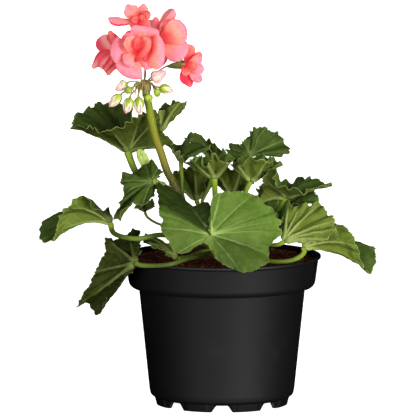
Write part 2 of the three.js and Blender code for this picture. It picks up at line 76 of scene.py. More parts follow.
def ring(count, reach, height=0.0):
    """Places evenly spaced round an axis."""
    return [spoke(full_turn * number / count, reach, height) for number in range(count)]


def unit(vectors):
    """The same directions with a length of one."""
    return vectors / np.maximum(np.linalg.norm(vectors, axis=-1, keepdims=True), 1e-9)


def placed(name, data):
    """An object of the scene that holds a mesh, a light or a camera."""
    made = bpy.data.objects.new(name, data)
    bpy.context.scene.collection.objects.link(made)
    return made


def piece(name, points, faces, paints, marks=None):
    """A mesh from points in millimetres about the pot's axis. Each face is its corners and the number of
    its material. Marks are vectors kept at the points for the paint."""
    mesh = bpy.data.meshes.new(name)
    moved = (np.asarray(points, float) + (axis_x, axis_y, 0)) / 1000
    mesh.from_pydata(moved.tolist(), [], [corners for corners, _ in faces])
    mesh.polygons.foreach_set("material_index", [paint for _, paint in faces])
    mesh.polygons.foreach_set("use_smooth", [True] * len(faces))
    for mark, values in (marks or {}).items():
        layer = mesh.attributes.new(mark, "FLOAT_VECTOR", "POINT")
        layer.data.foreach_set("vector", np.asarray(values, np.float32).ravel())
    for paint in paints:
        mesh.materials.append(paint)
    welded = bmesh.new()
    welded.from_mesh(mesh)
    bmesh.ops.remove_doubles(welded, verts=welded.verts, dist=1e-7)
    bmesh.ops.recalc_face_normals(welded, faces=welded.faces)
    welded.to_mesh(mesh)
    welded.free()
    return placed(name, mesh)


def plant_part(made, node):
    """The piece rides with the one body of the object and stands for its plain solid."""
    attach(made, "root")
    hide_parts(node)


def grid_faces(rows, columns, first=0, paint=0, around=False, flip=False):
    """Four-cornered faces between rows of points, each row having the given number of points."""
    faces = []
    for row in range(rows - 1):
        for column in range(columns if around else columns - 1):
            beside = (column + 1) % columns
            corners = [row * columns + column, row * columns + beside]
            corners += [(row + 1) * columns + beside, (row + 1) * columns + column]
            corners = [first + corner for corner in corners]
            faces.append((corners[::-1] if flip else corners, paint))
    return faces


def sum_of(operation, turned=False):
    """What an operator between two shades does: it adds the node of that operation."""

    def work(self, other):
        pair = (other, self) if turned else (self, other)
        kinds = {part.socket.type if isinstance(part, Shade) else "VALUE" for part in pair}
        kind = "Math" if kinds == {"VALUE"} else "VectorMath"
        return self.recipe.add(kind, {"operation": operation}, dict(enumerate(pair)))

    return work


class Shade:
    """A value, colour or vector in a material. Sums of it are written as plain expressions."""

    __add__, __radd__ = sum_of("ADD"), sum_of("ADD", True)
    __sub__, __rsub__ = sum_of("SUBTRACT"), sum_of("SUBTRACT", True)
    __mul__, __rmul__ = sum_of("MULTIPLY"), sum_of("MULTIPLY", True)
    __truediv__ = sum_of("DIVIDE")
    __pow__ = sum_of("POWER")
    __mod__ = sum_of("FLOORED_MODULO")

    def __init__(self, recipe, socket):
        self.recipe = recipe
        self.socket = socket

    def __abs__(self):
        return self.recipe.add("Math", {"operation": "ABSOLUTE"}, {0: self})

    def between(self, low, high):
        """0 below low and 1 above high, or the other way round, with a soft change from one to the other."""
        turned = low > high
        ends = {1: min(low, high), 2: max(low, high), 3: float(turned), 4: float(not turned)}
        return self.recipe.add("MapRange", {"interpolation_type": "SMOOTHSTEP"}, {0: self, **ends})


class Recipe:
    """A material in the making: every node in it comes from add()."""

    def __init__(self, name):
        self.material = bpy.data.materials.new(name)
        self.material.use_nodes = True
        self.tree = self.material.node_tree
        self.tree.nodes.clear()

    def add(self, kind, settings=None, values=None, output=None):
        node = self.tree.nodes.new("ShaderNode" + kind)
        for setting, chosen in (settings or {}).items():
            setattr(node, setting, chosen)
        shown = [socket for socket in node.inputs if socket.enabled]
        for key, value in (values or {}).items():
            socket = shown[key] if isinstance(key, int) else next(s for s in shown if s.name == key)
            if isinstance(value, Shade):
                self.tree.links.new(value.socket, socket)
            elif socket.type == "RGBA":
                socket.default_value = (*value, 1)
            elif socket.type == "VECTOR" and isinstance(value, (int, float)):
                socket.default_value = (value, value, value)
            else:
                socket.default_value = value
        given = [socket for socket in node.outputs if socket.enabled] or [None]
        return Shade(self, next((s for s in given if s and s.name == output), given[0]))

    def mix(self, colour, *coats):
        """A colour under further ones, each given with the share of it that shows."""
        for coat, share in coats:
            colour = self.add("Mix", {"data_type": "RGBA"}, {"Factor": share, "A": colour, "B": coat})
        return colour

    def spots(self, scale, where, detail=2.0, roughness=0.5):
        values = {"Vector": where, "Scale": scale, "Detail": detail, "Roughness": roughness}
        return self.add("TexNoise", None, values)

    def streaks(self, stretch, where, detail=2.0):
        return self.spots(1, self.add("Mapping", None, {"Vector": where, "Scale": stretch}), detail)

    def cells(self, scale, where, feature="DISTANCE_TO_EDGE"):
        return self.add("TexVoronoi", {"feature": feature}, {"Vector": where, "Scale": scale})

    def mark(self, name):
        return self.add("Attribute", {"attribute_name": name}, output="Vector")

    def split(self, vector, output):
        return self.add("SeparateXYZ", None, {0: vector}, output)

    def parts(self, name):
        """The three numbers that every point of a piece keeps under a mark."""
        mark = self.mark(name)
        return [self.split(mark, part) for part in "XYZ"]

    def here(self):
        return self.add("TexCoord", output="Object")

    def finish(self, colour, roughness, height=None, relief=0.0, **constants):
        """The one shader of a finish. Relief is how far the bump stands out, in metres."""
        values = {"Base Color": colour, "Roughness": roughness}
        if height is not None:
            values["Normal"] = self.add("Bump", None, {"Distance": relief, "Height": height})
        values.update({name.replace("_", " "): value for name, value in constants.items()})
        shader = self.add("BsdfPrincipled", None, values)
        self.add("OutputMaterial", None, {"Surface": shader})
        return self.material


def rounded(corners, steps=5):
    """An outline of (radius, height, rounding) corners with each corner turned into a small arc."""
    smooth = []
    for number, (radius, height, rounding) in enumerate(corners):
        here = np.array([radius, height])
        if rounding == 0:
            smooth.append(here)
            continue
        before = np.array(corners[number - 1][:2]) - here
        after = np.array(corners[number + 1][:2]) - here
        start = here + before * min(rounding / np.linalg.norm(before), 0.5)
        end = here + after * min(rounding / np.linalg.norm(after), 0.5)
        for step in range(steps + 1):
            share = step / steps
            smooth.append(start * (1 - share) ** 2 + here * 2 * share * (1 - share) + end * share**2)
    return smooth


pot_outline = rounded([
    (0, 6, 0), (40.6, 6, 0.5), (40.6, 0, 0.3), (43.9, 0, 1.0), (45.4, 5.4, 0.5),
    (46.9, 6.6, 0.8), (47.6, 9.6, 1.2), (54.7, band_bottom + 0.1, 0.5), (59.6, band_bottom + 0.1, 1.2),
    (61.3, band_bottom + 2.6, 1.6), (63.4, pot_height - 2.2, 0.5), (lip_radius, pot_height - 1.7, 0.4),
    (lip_radius, pot_height, 0.6), (62.4, pot_height, 0.4), (62.2, pot_height - 1.2, 0.5),
    (60.0, band_bottom + 2.8, 0.8), (53.5, band_bottom + 1, 0.8), (46.3, 9.6, 0.8), (44.2, 7.4, 0.8),
    (0, 7.4, 0),
])
notch_turn = full_turn / notch_count
pot_points = []
for radius, height in pot_outline:
    outside = radius > foot_outside and height < foot_height
    for column in range(columns_around):
        angle = full_turn * column / columns_around
        aside = abs((angle + notch_turn / 2) % notch_turn - notch_turn / 2) * notch_radius
        lift = notch_height * min(max((notch_foot - aside) / (notch_foot - notch_top), 0), 1)
        cut = height < foot_height and radius > foot_inside
        raised = lift + height * (1 - lift / foot_height) if cut else height
        edge = min(max((recess_half_width - aside) / recess_slope, 0), 1) if outside else 0
        inset = recess_depth * edge * edge * (3 - 2 * edge)
        pot_points.append(spoke(angle, radius - inset, raised))

black = Recipe("black_polypropylene")
where = black.here()
fine = black.spots(2600, where, 3)
blotches = black.spots(38, where, 4, 0.6)
flow = black.streaks((30, 30, 900), where, 3)
lip_top = black.split(where, "Z").between(pot_height / 1000 - 0.0016, pot_height / 1000 - 0.0004)
dusty = blotches.between(0.55, 0.8) * 0.35 + lip_top * blotches.between(0.35, 0.7) * 0.6
black_colour = black.mix((0.0022, 0.0022, 0.0024), ((0.014, 0.013, 0.012), dusty))
black_roughness = 0.52 + 0.06 * blotches + 0.04 * flow
black_relief = fine * 0.6 + flow * 0.4
pot_paint = black.finish(black_colour, black_roughness, black_relief, 0.00006, Specular_IOR_Level=0.3)
pot_faces = grid_faces(len(pot_outline), columns_around, around=True)
plant_part(piece("pot_shell", pot_points, pot_faces, [pot_paint]), "pot")

# The peat. Loose, moist, dark reddish-brown potting peat filled to just under the lip: a lumpy surface
# with coarse crumbs and short fibres lying on it. Below, it fills the pot to the wall.
peat_level = 95.6
peat_edge_radius = 61.2
peat_edge_slope = 5
peat_rings = 62
peat_columns = 300
crumb_count = 520
crumb_inset = 2
fibre_count = 90
fibre_inset = 5
fibre_radius = 0.16
fibre_steps = 6
fibre_step = 0.8


class Ripple:
    """A smooth random height, the sum of waves of about the given length in random directions."""

    def __init__(self, seed, length, waves=9):
        chance = random.Random(seed)
        self.waves = []
        for _ in range(waves):
            turn = chance.uniform(0, full_turn)
            pace = full_turn / (length * chance.uniform(0.65, 1.5))
            self.waves.append((pace * math.cos(turn), pace * math.sin(turn), chance.uniform(0, full_turn)))

    def __call__(self, x, y):
        heights = [np.sin(across * x + up * y + start) for across, up, start in self.waves]
        return sum(heights) / math.sqrt(len(heights) / 2)


coarse_lumps = Ripple("coarse", 14)
small_lumps = Ripple("small", 4.2, 14)
grains = Ripple("grains", 1.9, 18)


def peat_height(x, y):
    away = np.clip((peat_edge_radius - np.hypot(x, y)) / peat_edge_slope, 0, 1)
    lumps = 0.32 * coarse_lumps(x, y) + 0.4 * small_lumps(x, y) + 0.32 * np.abs(grains(x, y))
    return float(peat_level - 1.2 + away * (1.0 + lumps))


peat_points = []
for number in range(peat_rings + 1):
    for x, y, _ in ring(peat_columns, peat_edge_radius * number / peat_rings):
        peat_points.append((x, y, peat_height(x, y)))
peat_sides = [(59.6, band_bottom + 3.2), (53.2, band_bottom + 0.6), (46, 10), (43.9, 7.7), (0, 7.7)]
for radius, height in peat_sides:
    peat_points += ring(peat_columns, radius, height)
peat_faces = grid_faces(len(peat_points) // peat_columns, peat_columns, around=True)

peat = Recipe("moist_peat")
where = peat.here()
crumbly = peat.spots(520, where, 6, 0.7)
patches = peat.spots(90, where, 4, 0.6)
crumb_cells = peat.cells(620, where, "F1")
peat_colour = peat.mix(
    (0.036, 0.0075, 0.004),
    ((0.15, 0.034, 0.016), crumbly.between(0.38, 0.68)),
    ((0.2, 0.085, 0.05), (crumbly * patches).between(0.3, 0.42)),
    ((0.008, 0.003, 0.002), patches.between(0.52, 0.34) * 0.7),
)
peat_relief = crumbly * 0.7 + crumb_cells * 0.5
peat_paint = peat.finish(peat_colour, 0.78 + 0.2 * crumbly, peat_relief, 0.0007, Specular_IOR_Level=0.12)


def crumb(chance, place, size, points, faces):
    """One crumb: a dented lump with its own proportions, turned at random."""
    rows, columns = 5, 7
    first = len(points)
    stretch = np.array([chance.uniform(0.7, 1.3), chance.uniform(0.6, 1.1), chance.uniform(0.5, 0.9)])
    turn = chance.uniform(0, full_turn)
    for row in range(rows):
        rise = math.pi * row / (rows - 1)
        for column in range(columns):
            dent = size * (1 if row in (0, rows - 1) else chance.uniform(0.72, 1.15))
            x, y, z = stretch * dent * spoke(full_turn * column / columns, math.sin(rise), math.cos(rise))
            spun = (x * math.cos(turn) - y * math.sin(turn), x * math.sin(turn) + y * math.cos(turn), z)
            points.append(tuple(np.add(place, spun)))
    faces += grid_faces(rows, columns, first, around=True)


def gone_along(route):
    """How far along a route each of its points is."""
    return np.concatenate([[0], np.cumsum(np.linalg.norm(np.diff(route, axis=0), axis=1))])


def tube(made, route, radii, sides, paint=0):
    """Adds a round rod through the points of a route, closed by its end rings, to the points, faces and
    marks of a piece. Marks are how far along each point is, from 0 to 1 and in millimetres, and its side."""
    points, faces, marks = made
    route = np.asarray(route, float)
    first = len(points)
    ahead = unit(np.gradient(route, axis=0))
    gone = gone_along(route)
    aside = np.cross(ahead[0], (0.31, 0.87, 0.38))
    for number, (place, direction, radius) in enumerate(zip(route, ahead, radii)):
        aside = unit(aside - direction * aside.dot(direction))
        other = np.cross(direction, aside)
        for side in range(sides):
            out, up, _ = spoke(full_turn * side / sides)
            points.append(place + radius * (out * aside + up * other))
            marks.append((gone[number] / gone[-1], gone[number], side / sides))
    faces += grid_faces(len(route), sides, first, paint, around=True)
    last = first + (len(route) - 1) * sides
    faces.append(([first + side for side in range(sides)][::-1], paint))
    faces.append(([last + side for side in range(sides)], paint))


chance = random.Random("crumbs")


def strewn(inset):
    """A random place on the peat, at least so far in from its edge."""
    turn = chance.uniform(0, full_turn)
    return spoke(turn, (peat_edge_radius - inset) * math.sqrt(chance.random()))[:2]


for _ in range(crumb_count):
    x, y = strewn(crumb_inset)
    size = 0.5 + 1.3 * chance.random() ** 3
    crumb(chance, (x, y, peat_height(x, y) + 0.25 * size), size, peat_points, peat_faces)
for _ in range(fibre_count):
    start = strewn(fibre_inset)
    lie = chance.uniform(0, full_turn)
    bend = chance.uniform(-0.7, 0.7)
    route = []
    for step in range(fibre_steps):
        start = start + spoke(lie + bend * step / 2, fibre_step)[:2]
        route.append((*start, peat_height(*start) + 0.25))
    tube((peat_points, peat_faces, []), route, [fibre_radius] * fibre_steps, 4)
plant_part(piece("peat", peat_points, peat_faces, [peat_paint]), "soil")

# The stem. One soft, slightly woody stem out of the peat, green above and brown at its foot, with a long
# shoot to the left and a short one to the right. It thickens at each node, where a leaf stalk grew.
trunk_radius = 4.6
shoot_radius = 3.2
trunk_route = [(1, 4, 72), (0, 3, 88), (-2, 2, 100), (-3, 2, 112)]
left_shoot_route = [(-2, 2, 100), (-12, -2, 117), (-24, -6, 131), (-36, -11, 142), (-42, -15, 148)]
right_shoot_route = [(-2, 2, 102), (6, 3, 115), (14, 5, 124)]


def along(route, shares):
    """Places on a smooth curve through the points of a route, at shares from 0 to 1 of its stretches."""
    route = np.asarray(route, float)
    wide = np.vstack([2 * route[0] - route[1], route, 2 * route[-1] - route[-2]])
    place = np.asarray(shares, float) * (len(route) - 1)
    start = np.minimum(place.astype(int), len(route) - 2)
    t = (place - start)[:, None]
    before, here, after, beyond = (wide[start + step] for step in range(4))
    leaving, arriving = (after - before) / 2, (beyond - here) / 2
    bend = 2 * (here - after) + leaving + arriving
    return ((bend * t + 3 * (after - here) - 2 * leaving - arriving) * t + leaving) * t + here


made = ([], [], [])
stretches = [(trunk_route, trunk_radius, 26), (left_shoot_route, shoot_radius, 60)]
stretches += [(right_shoot_route, shoot_radius, 24)]
for route, radius, rings in stretches:
    shares = np.linspace(0, 1, rings)
    knots = 0.12 * np.cos(full_turn * shares * 4) ** 8
    closing = np.sqrt(np.clip((1 - shares) * 12, 0.05, 1))
    tube(made, along(route, shares), radius * (0.93 + knots) * closing, 16)

stem = Recipe("green_stem")
where = stem.here()
scars = stem.spots(160, where, 4, 0.6)
streaks = stem.streaks((900, 900, 120), where, 3)
low = stem.split(where, "Z").between(0.122, 0.098)
stem_colour = stem.mix(
    (0.16, 0.24, 0.045),
    ((0.26, 0.34, 0.08), streaks),
    ((0.13, 0.075, 0.035), (low + 0.35) * scars.between(0.35, 0.65)),
)
stem_paint = stem.finish(
    stem_colour, 0.5 + 0.2 * scars, scars + streaks * 0.6, 0.0004, Sheen_Weight=0.05, Sheen_Roughness=0.5,
)
plant_part(piece("green_stem", *made[:2], [stem_paint]), "stem")

# The leaves. Each is one grown piece: a round, palmately ribbed blade of soft, downy tissue with shallow
# lobes and a scalloped margin, on a fleshy round stalk that grows out of the stem.
plain_habit = dict(
    arch=0.05,  # how far its spokes bulge; a fourth number on a rim point is that spoke's own
    flare=0.25,  # how far the stalk swells at its top
    pleat=1.5,  # how deep the blade folds between its ribs
    frill=1.5,  # how far its margin waves
    lobe=0.075,  # how far its margin draws in between two lobes
    teeth=1.5,  # how deep its margin is scalloped
    ribs=None,  # the rim points, counted from 1, that its ribs run to
    tone=0.0,  # how much lighter its tissue is, or darker if below 0
    upper_tone=None,  # the same for its upper face, where that differs
    stalk_dark=0.05,  # how dark its stalk is, from 0 to 1
    # painted shade and painted light: a list that darkens or lightens sectors of the blade from rib to rib
    shaded=None,  # how light the blade is from rib to rib, as (rib, share of its colour)
)
basal_lobe = 0.34
blade_middle = 0.55
blade_margin = 0.32
rib_height = 0.8
rib_width = 0.75
tooth_pitch = 4.4
frill_pitch = 9.5
wave_length = 13
quilt_length = 4.5
column_pitch = 0.7
row_pitch = 1.4
tooth_wander = 9
deepest_cut = 0.3
groove_width = 0.9
broad_leaf_points = 9


class Blade:
    """The middle surface of a blade: spokes from the top of its stalk to its rim, with an arch."""

    def __init__(self, base, rim, arch):
        self.base = np.array(base, float)
        spokes = np.array([point[:3] for point in rim], float) - self.base
        own = [point[3] if len(point) > 3 else arch for point in rim]
        self.arches = np.array([own[0], *own, own[-1]])
        self.upper = unit(np.cross(spokes[:-1], spokes[1:]).sum(axis=0))
        ends = [basal_lobe * (spokes[0] * (1 - share) + spokes[-1] * share) for share in (0.2, 0.8)]
        self.rim = np.array([ends[0], *spokes, ends[1]])

    def arch_at(self, shares):
        place = shares * (len(self.arches) - 1)
        start = np.minimum(place.astype(int), len(self.arches) - 2)
        local = place - start
        local = local * local * (3 - 2 * local)
        return self.arches[start] * (1 - local) + self.arches[start + 1] * local

    def places(self, shares, reach):
        """Points for each share along the rim (across) and each reach out from the base (down)."""
        spokes = along(self.rim, shares)
        lift = 4 * self.arch_at(shares) * np.linalg.norm(spokes, axis=1)
        bulge = (lift[None, :] * reach * (1 - reach))[..., None]
        return self.base + spokes * reach[..., None] + self.upper * bulge


def facing(places):
    """The direction square to a surface at each of its points, given as rows of points."""
    return unit(np.cross(np.gradient(places, axis=0), np.gradient(places, axis=1)))


def sheet(made, places, half, paints):
    """Adds a thin closed sheet round a middle surface, given as rows of points, and half its thickness."""
    points, faces, _ = made
    square = facing(places)
    rows, columns = places.shape[:2]
    first, per_side = len(points), rows * columns
    points += (places + square * half[..., None]).reshape(-1, 3).tolist()
    points += (places - square * half[..., None]).reshape(-1, 3).tolist()
    faces += grid_faces(rows, columns, first, paints[0])
    faces += grid_faces(rows, columns, first + per_side, paints[1], flip=True)
    border = list(range(columns))
    border += [row * columns + columns - 1 for row in range(1, rows)]
    border += [(rows - 1) * columns + column for column in range(columns - 2, -1, -1)]
    border += [row * columns for row in range(rows - 2, 0, -1)]
    for here, ahead in zip(border, border[1:] + border[:1]):
        corners = [here, ahead, ahead + per_side, here + per_side]
        faces.append(([first + corner for corner in corners], paints[1]))


def leaf_mesh(leaf):
    """The blade as a thin closed sheet with its ribs, lobes and teeth, and the stalk as a rod."""
    blade = Blade(leaf["base"], leaf["rim"], leaf["arch"])
    name = leaf["name"]
    trial = np.linspace(0, 1, 400)
    gone = gone_along(along(blade.rim, trial))
    run = np.linspace(0, gone[-1], int(gone[-1] / column_pitch) + 1)
    shares = np.interp(run, gone, trial)
    spokes = along(blade.rim, shares)
    lengths = np.linalg.norm(spokes, axis=1)
    turns = (spokes[:-1] * spokes[1:]).sum(axis=1) / (lengths[:-1] * lengths[1:])
    angles = np.concatenate([[0], np.cumsum(np.arccos(np.clip(turns, -1, 1)))])
    if leaf["ribs"]:
        rib_count = len(leaf["ribs"])
        known = [0, *(place / (len(leaf["rim"]) + 1) for place in leaf["ribs"]), 1]
        ribs = np.interp(shares, known, [0, *(number + 0.5 for number in range(rib_count)), rib_count])
    else:
        ribs = angles / angles[-1] * (7 if len(leaf["rim"]) > broad_leaf_points else 5)
    outer = 1 - (1 - np.linspace(0, 1, max(12, int(lengths.max() / row_pitch)))[:, None]) ** 1.15
    wobble = Ripple(name, tooth_wander)
    scallops = np.abs(np.sin(math.pi * (run / tooth_pitch + 0.35 * wobble(run, 0 * run))))
    lobes = leaf["lobe"] * lengths * (0.5 + 0.5 * np.cos(full_turn * ribs))
    shorter = np.clip((leaf["teeth"] * (1 - scallops) + lobes) / np.maximum(lengths, 6), 0, deepest_cut)
    shorter = shorter - 0.45 * shorter.mean()
    reach = outer * (1 - shorter * outer**4)
    places = blade.places(shares, reach)
    out = reach * lengths
    pitch = out * np.gradient(angles) / np.maximum(np.gradient(ribs), 1e-6)
    flat_x, flat_y = out * np.sin(angles), out * np.cos(angles)
    beside = np.abs(ribs % 1 - 0.5) * pitch
    height = leaf["pleat"] * np.cos(full_turn * ribs) * np.clip(pitch / 12, 0, 1)
    height += -0.25 * np.exp(-((beside / groove_width) ** 2))
    height += 0.35 * Ripple(name + " wave", wave_length)(flat_x, flat_y) * outer
    height += 0.12 * Ripple(name + " quilt", quilt_length, 14)(flat_x, flat_y)
    frill = np.sin(full_turn * run / frill_pitch + 1.3 * wobble(run * 0.6, 0 * run))
    height += leaf["frill"] * frill * outer**4
    near = np.exp(-out / 7)
    ridge = rib_height * (1 + 1.6 * near) * (1 - outer) ** 0.7 * np.clip(out / 3, 0, 1)
    ridge = ridge * np.exp(-((beside / (rib_width * (1 + near))) ** 2)) + 0.7 * np.exp(-((out / 4) ** 2))
    height = height * np.clip(out / 5, 0, 1) - ridge / 2
    places = places + facing(places) * height[..., None]
    half = (blade_middle + (blade_margin - blade_middle) * outer + ridge) / 2
    made = ([], [], [])
    sheet(made, places, half, (0, 1))
    # Painted shade and painted light, kept at each point of the blade as a share of its colour.
    stretches, painted_dims = zip(*(leaf["shaded"] or [(0, 1)]))
    painted_dim = np.interp(ribs, stretches, painted_dims) + 0 * out
    marks = {
        "grain": np.stack([ribs + 0 * out, pitch, out], axis=-1),
        "flat": np.stack([flat_x, flat_y, (1 - outer) * lengths], axis=-1),
        "shaded": np.stack([painted_dim] * 3, axis=-1),
    }
    route = along([leaf["base"], *leaf["stalk"]], np.linspace(0, 1, 12 * len(leaf["stalk"]) + 1))
    gone = gone_along(route)
    swell = 0.9 + leaf["flare"] * np.exp(-gone / 5) + 0.25 * np.clip(gone / gone[-1] - 0.75, 0, 1)
    narrow = np.sqrt(np.clip((gone + 0.6) / 1.6, 0, 1))
    tube(made, route, leaf["stalk_radius"] * swell * narrow, 14, 2)
    of_stalk = np.array(made[2])
    for mark, kept in (("grain", of_stalk), ("flat", 0 * of_stalk), ("shaded", 0 * of_stalk + 1)):
        blade_marks = marks[mark].reshape(-1, 3)
        marks[mark] = np.vstack([blade_marks, blade_marks, kept])
    return made[0], made[1], marks


# The colours of a blade's two faces: light tissue, dark tissue and veins.
face_colours = {
    "upper": ((0.1, 0.168, 0.022), (0.055, 0.104, 0.01), (0.25, 0.34, 0.1)),
    "under": ((0.125, 0.17, 0.025), (0.075, 0.11, 0.011), (0.29, 0.35, 0.1)),
}
heart_colour = (0.3, 0.4, 0.1)
vein_gap = 8.5


def toned(colour, tone):
    return [value * (1 + tone) for value in colour]


def face_paint(leaf, side):
    """One face of a blade. Ribs run out from the stalk, forked veins leave them, and a fine net fills the
    space between. They are sunk in the upper face and stand out from the underside."""
    upper = side == "upper"
    tone = leaf["upper_tone"] if upper and leaf["upper_tone"] is not None else leaf["tone"]
    paint = Recipe(f"{leaf['name']}_{side}")
    ribs, pitch, out = paint.parts("grain")
    flat = paint.mark("flat")
    place = flat * (1.0, 1.0, 0.0)
    slow = paint.spots(0.06, place, 3, 0.55)
    quick = paint.spots(0.5, place, 4, 0.6)
    away = abs(ribs % 1.0 - 0.5) * pitch
    fading = out.between(45, 2)
    rib = (away / (0.5 + fading * 0.7)).between(1.2, 0.1) * (0.12 + fading * 0.88)
    other_side = (ribs % 1.0).between(0.499, 0.501)
    sent = out - away * 1.25 + other_side * 4.0 + quick * 1.2
    branch_gap = abs((sent / vein_gap) % 1.0 - 0.5) * vein_gap
    branch = branch_gap.between(0.5, 0.1) * (away - 0.2).between(9.0, 1.5)
    drift = paint.add("TexNoise", None, {"Vector": place, "Scale": 0.3}, "Color") * 1.4
    net = paint.cells(0.42, place + drift).between(0.09, 0.01)
    light, dark, vein = face_colours[side]
    light, dark = toned(light, tone), toned(dark, tone)
    vein, heart = toned(vein, tone * 0.85), toned(heart_colour, tone * 0.85)
    colour = paint.mix(dark, (light, slow.between(0.3, 0.7)), (dark, quick.between(0.45, 0.7) * 0.4))
    if upper:
        zone = (out - 13).between(0, 5) * (out - 25).between(5, 0) * 0.2
        colour = paint.mix(colour, ((0.06, 0.08, 0.02), zone * slow.between(0.3, 0.6)))
    colour = paint.mix(
        colour,
        (vein, net * (0.06 if upper else 0.12)),
        (vein, branch * (0.2 if upper else 0.35)),
        (vein, rib * 0.85),
        (heart, out.between(8, 0.5) * 0.55),
        ((0.28, 0.35, 0.12), paint.split(flat, "Z").between(0.9, 0.1) * 0.5),
    )
    # Painted shade and painted light: the blade's colour is darkened or lightened sector by sector.
    if leaf["shaded"]:
        colour = colour * paint.mark("shaded")
    raised = rib + branch * 0.55 + net * 0.15
    relief = quick * 0.35 - raised if upper else quick * 0.3 + raised
    gloss = 0.1 if upper else 0.05
    return paint.finish(colour, 0.5 + 0.15 * quick, relief, 0.00035, Specular_IOR_Level=gloss)


def stalk_paint(leaf):
    """A downy leaf stalk, yellower just under its blade."""
    stalk = Recipe(f"{leaf['name']}_stalk")
    where = stalk.here()
    run = stalk.split(stalk.mark("grain"), "Y")
    speckle = stalk.spots(700, where, 3, 0.6)
    patches = stalk.spots(60, where, 3, 0.5)
    colour = stalk.mix(
        (0.095, 0.15, 0.016),
        ((0.165, 0.235, 0.03), patches.between(0.3, 0.7)),
        ((0.08, 0.115, 0.02), speckle.between(0.5, 0.75) * 0.4),
        ((0.28, 0.42, 0.02), run.between(16, 0) * 0.6),
        ((0.02, 0.03, 0.004), leaf["stalk_dark"]),
    )
    return stalk.finish(
        colour, 0.5, speckle, 0.0002, Specular_IOR_Level=0.15, Sheen_Weight=0.02, Sheen_Roughness=0.5,
    )


def grow_leaf(name, base, stalk_radius, rim, stalk, **habit):
    """A leaf from the top of its stalk, the stalk's radius, the rim of its blade from one basal lobe round
    to the other, the stalk's way down to the stem, and whatever isn't plain in its habit."""
    leaf = dict(plain_habit, name=name, base=base, stalk_radius=stalk_radius, rim=rim, stalk=stalk)
    leaf.update(habit)
    paints = [face_paint(leaf, "upper"), face_paint(leaf, "under"), stalk_paint(leaf)]
    points, faces, marks = leaf_mesh(leaf)
    plant_part(piece(name.replace("leaf_", "blade_"), points, faces, paints, marks), name)


# On some leaves a list from rib to rib darkens sectors of the blade as painted shade and lightens others as
# painted light.
grow_leaf("leaf_upper_left", (-62, 6, 166), 2.4, [
    (-60, 44, 190), (-77, 42, 194), (-89, 32, 192), (-100, 4, 186), (-90, -20, 184), (-75, -26, 185),
    (-63, -24, 187), (-56, -15, 192), (-50, -3, 192), (-43, 4, 193), (-38, 7, 180), (-32, 9, 172),
    (-39, 9, 170),
], [(-59, 2, 158), (-56, -3, 153), (-49, -5, 147.5), (-36, -10, 142)], tone=-0.5, flare=0.3)
grow_leaf("leaf_upper_back", (-40, 17, 178), 1.6, [
    (-22, 22, 195), (-30, 32, 195), (-39, 36, 193), (-43, 26, 188), (-39, 18, 191), (-31, 14, 196),
    (-23, 16, 196),
], [(-40.5, 14, 169), (-37, 8, 157), (-33, 0, 146), (-26, -5, 134)], arch=0.06, tone=-0.15)
grow_leaf("leaf_mid_left", (-45, -26, 149), 1.8, [
    (-39, -16, 158), (-47, -8, 161), (-54, -8, 157), (-60, -12, 153), (-66, -16, 152), (-66, -26, 147),
    (-65, -34, 141), (-69, -38, 135), (-71, -36, 126), (-65, -42, 132), (-57, -44, 136), (-47, -40, 139),
], [(-44, -21, 148), (-41, -15, 146)], arch=0.1, tone=-0.45)
# Its last sectors carry painted shade and those before them a little painted light.
grow_leaf("leaf_far_left", (-73, -12, 121), 1.85, [
    (-76, 12, 124), (-90, 22, 127), (-104, 20, 122), (-110, 8, 120), (-116, 4, 121), (-120.5, 0, 113),
    (-117, -6, 105), (-112, -14, 107), (-108, -24, 124), (-98, -30, 138), (-88, -32, 138.5),
    (-79, -27, 132), (-74, -20, 132),
], [
    (-72, -16, 116.5), (-69.5, -28, 115.6), (-63.6, -39, 115.1), (-53.8, -44, 114.9), (-39, -38, 116.5),
    (-18, -17, 110), (-1, 2, 101),
], arch=0.12, tone=-0.12, upper_tone=-0.4, frill=1, shaded=[(0, 1), (4.8, 1.15), (5.6, 0.7), (7, 0.35)])
grow_leaf("leaf_small_left", (-51, 6, 127), 0.9, [
    (-45, 4, 131), (-45, 14, 132), (-50, 18, 131), (-56, 10, 131), (-56, 0, 130), (-50, -4, 131),
], [(-48.5, 5, 122), (-39, 6, 117), (-20, 8, 114), (-2, 4, 110)], tone=-0.3)
# Its hanging lobe carries painted shade, with a strip of painted light along the fold beside it.
grow_leaf("leaf_lower_left", (-57, -52, 100), 1.6, [
    (-61, -44, 91), (-73, -36, 86.5, 0.12), (-76, -32, 77.2, 0.2), (-78, -30, 68.9, 0.2),
    (-82, -28, 62.4, 0.14), (-89, -32, 70.1), (-96, -38, 68.6), (-87, -40, 83.9), (-83, -42, 93.4),
    (-77, -42, 106.5), (-76, -34, 114.5), (-66, -26, 113), (-54, -22, 117.5),
], [
    (-52, -54, 98.7), (-42, -56, 98.8), (-34, -57, 99.8), (-29, -53, 100.7), (-21, -40, 101.5),
    (-10, -22, 101), (-6, -8, 99.6), (-2, 2, 98.5),
], arch=0.08, tone=-0.78, stalk_dark=0.6, lobe=0.02, ribs=[1.2, 3, 4.8, 7, 9, 10.8, 12.4],
    shaded=[(0, 0.5), (3.3, 0.55), (3.5, 1.35), (4, 1), (7, 0.9)])
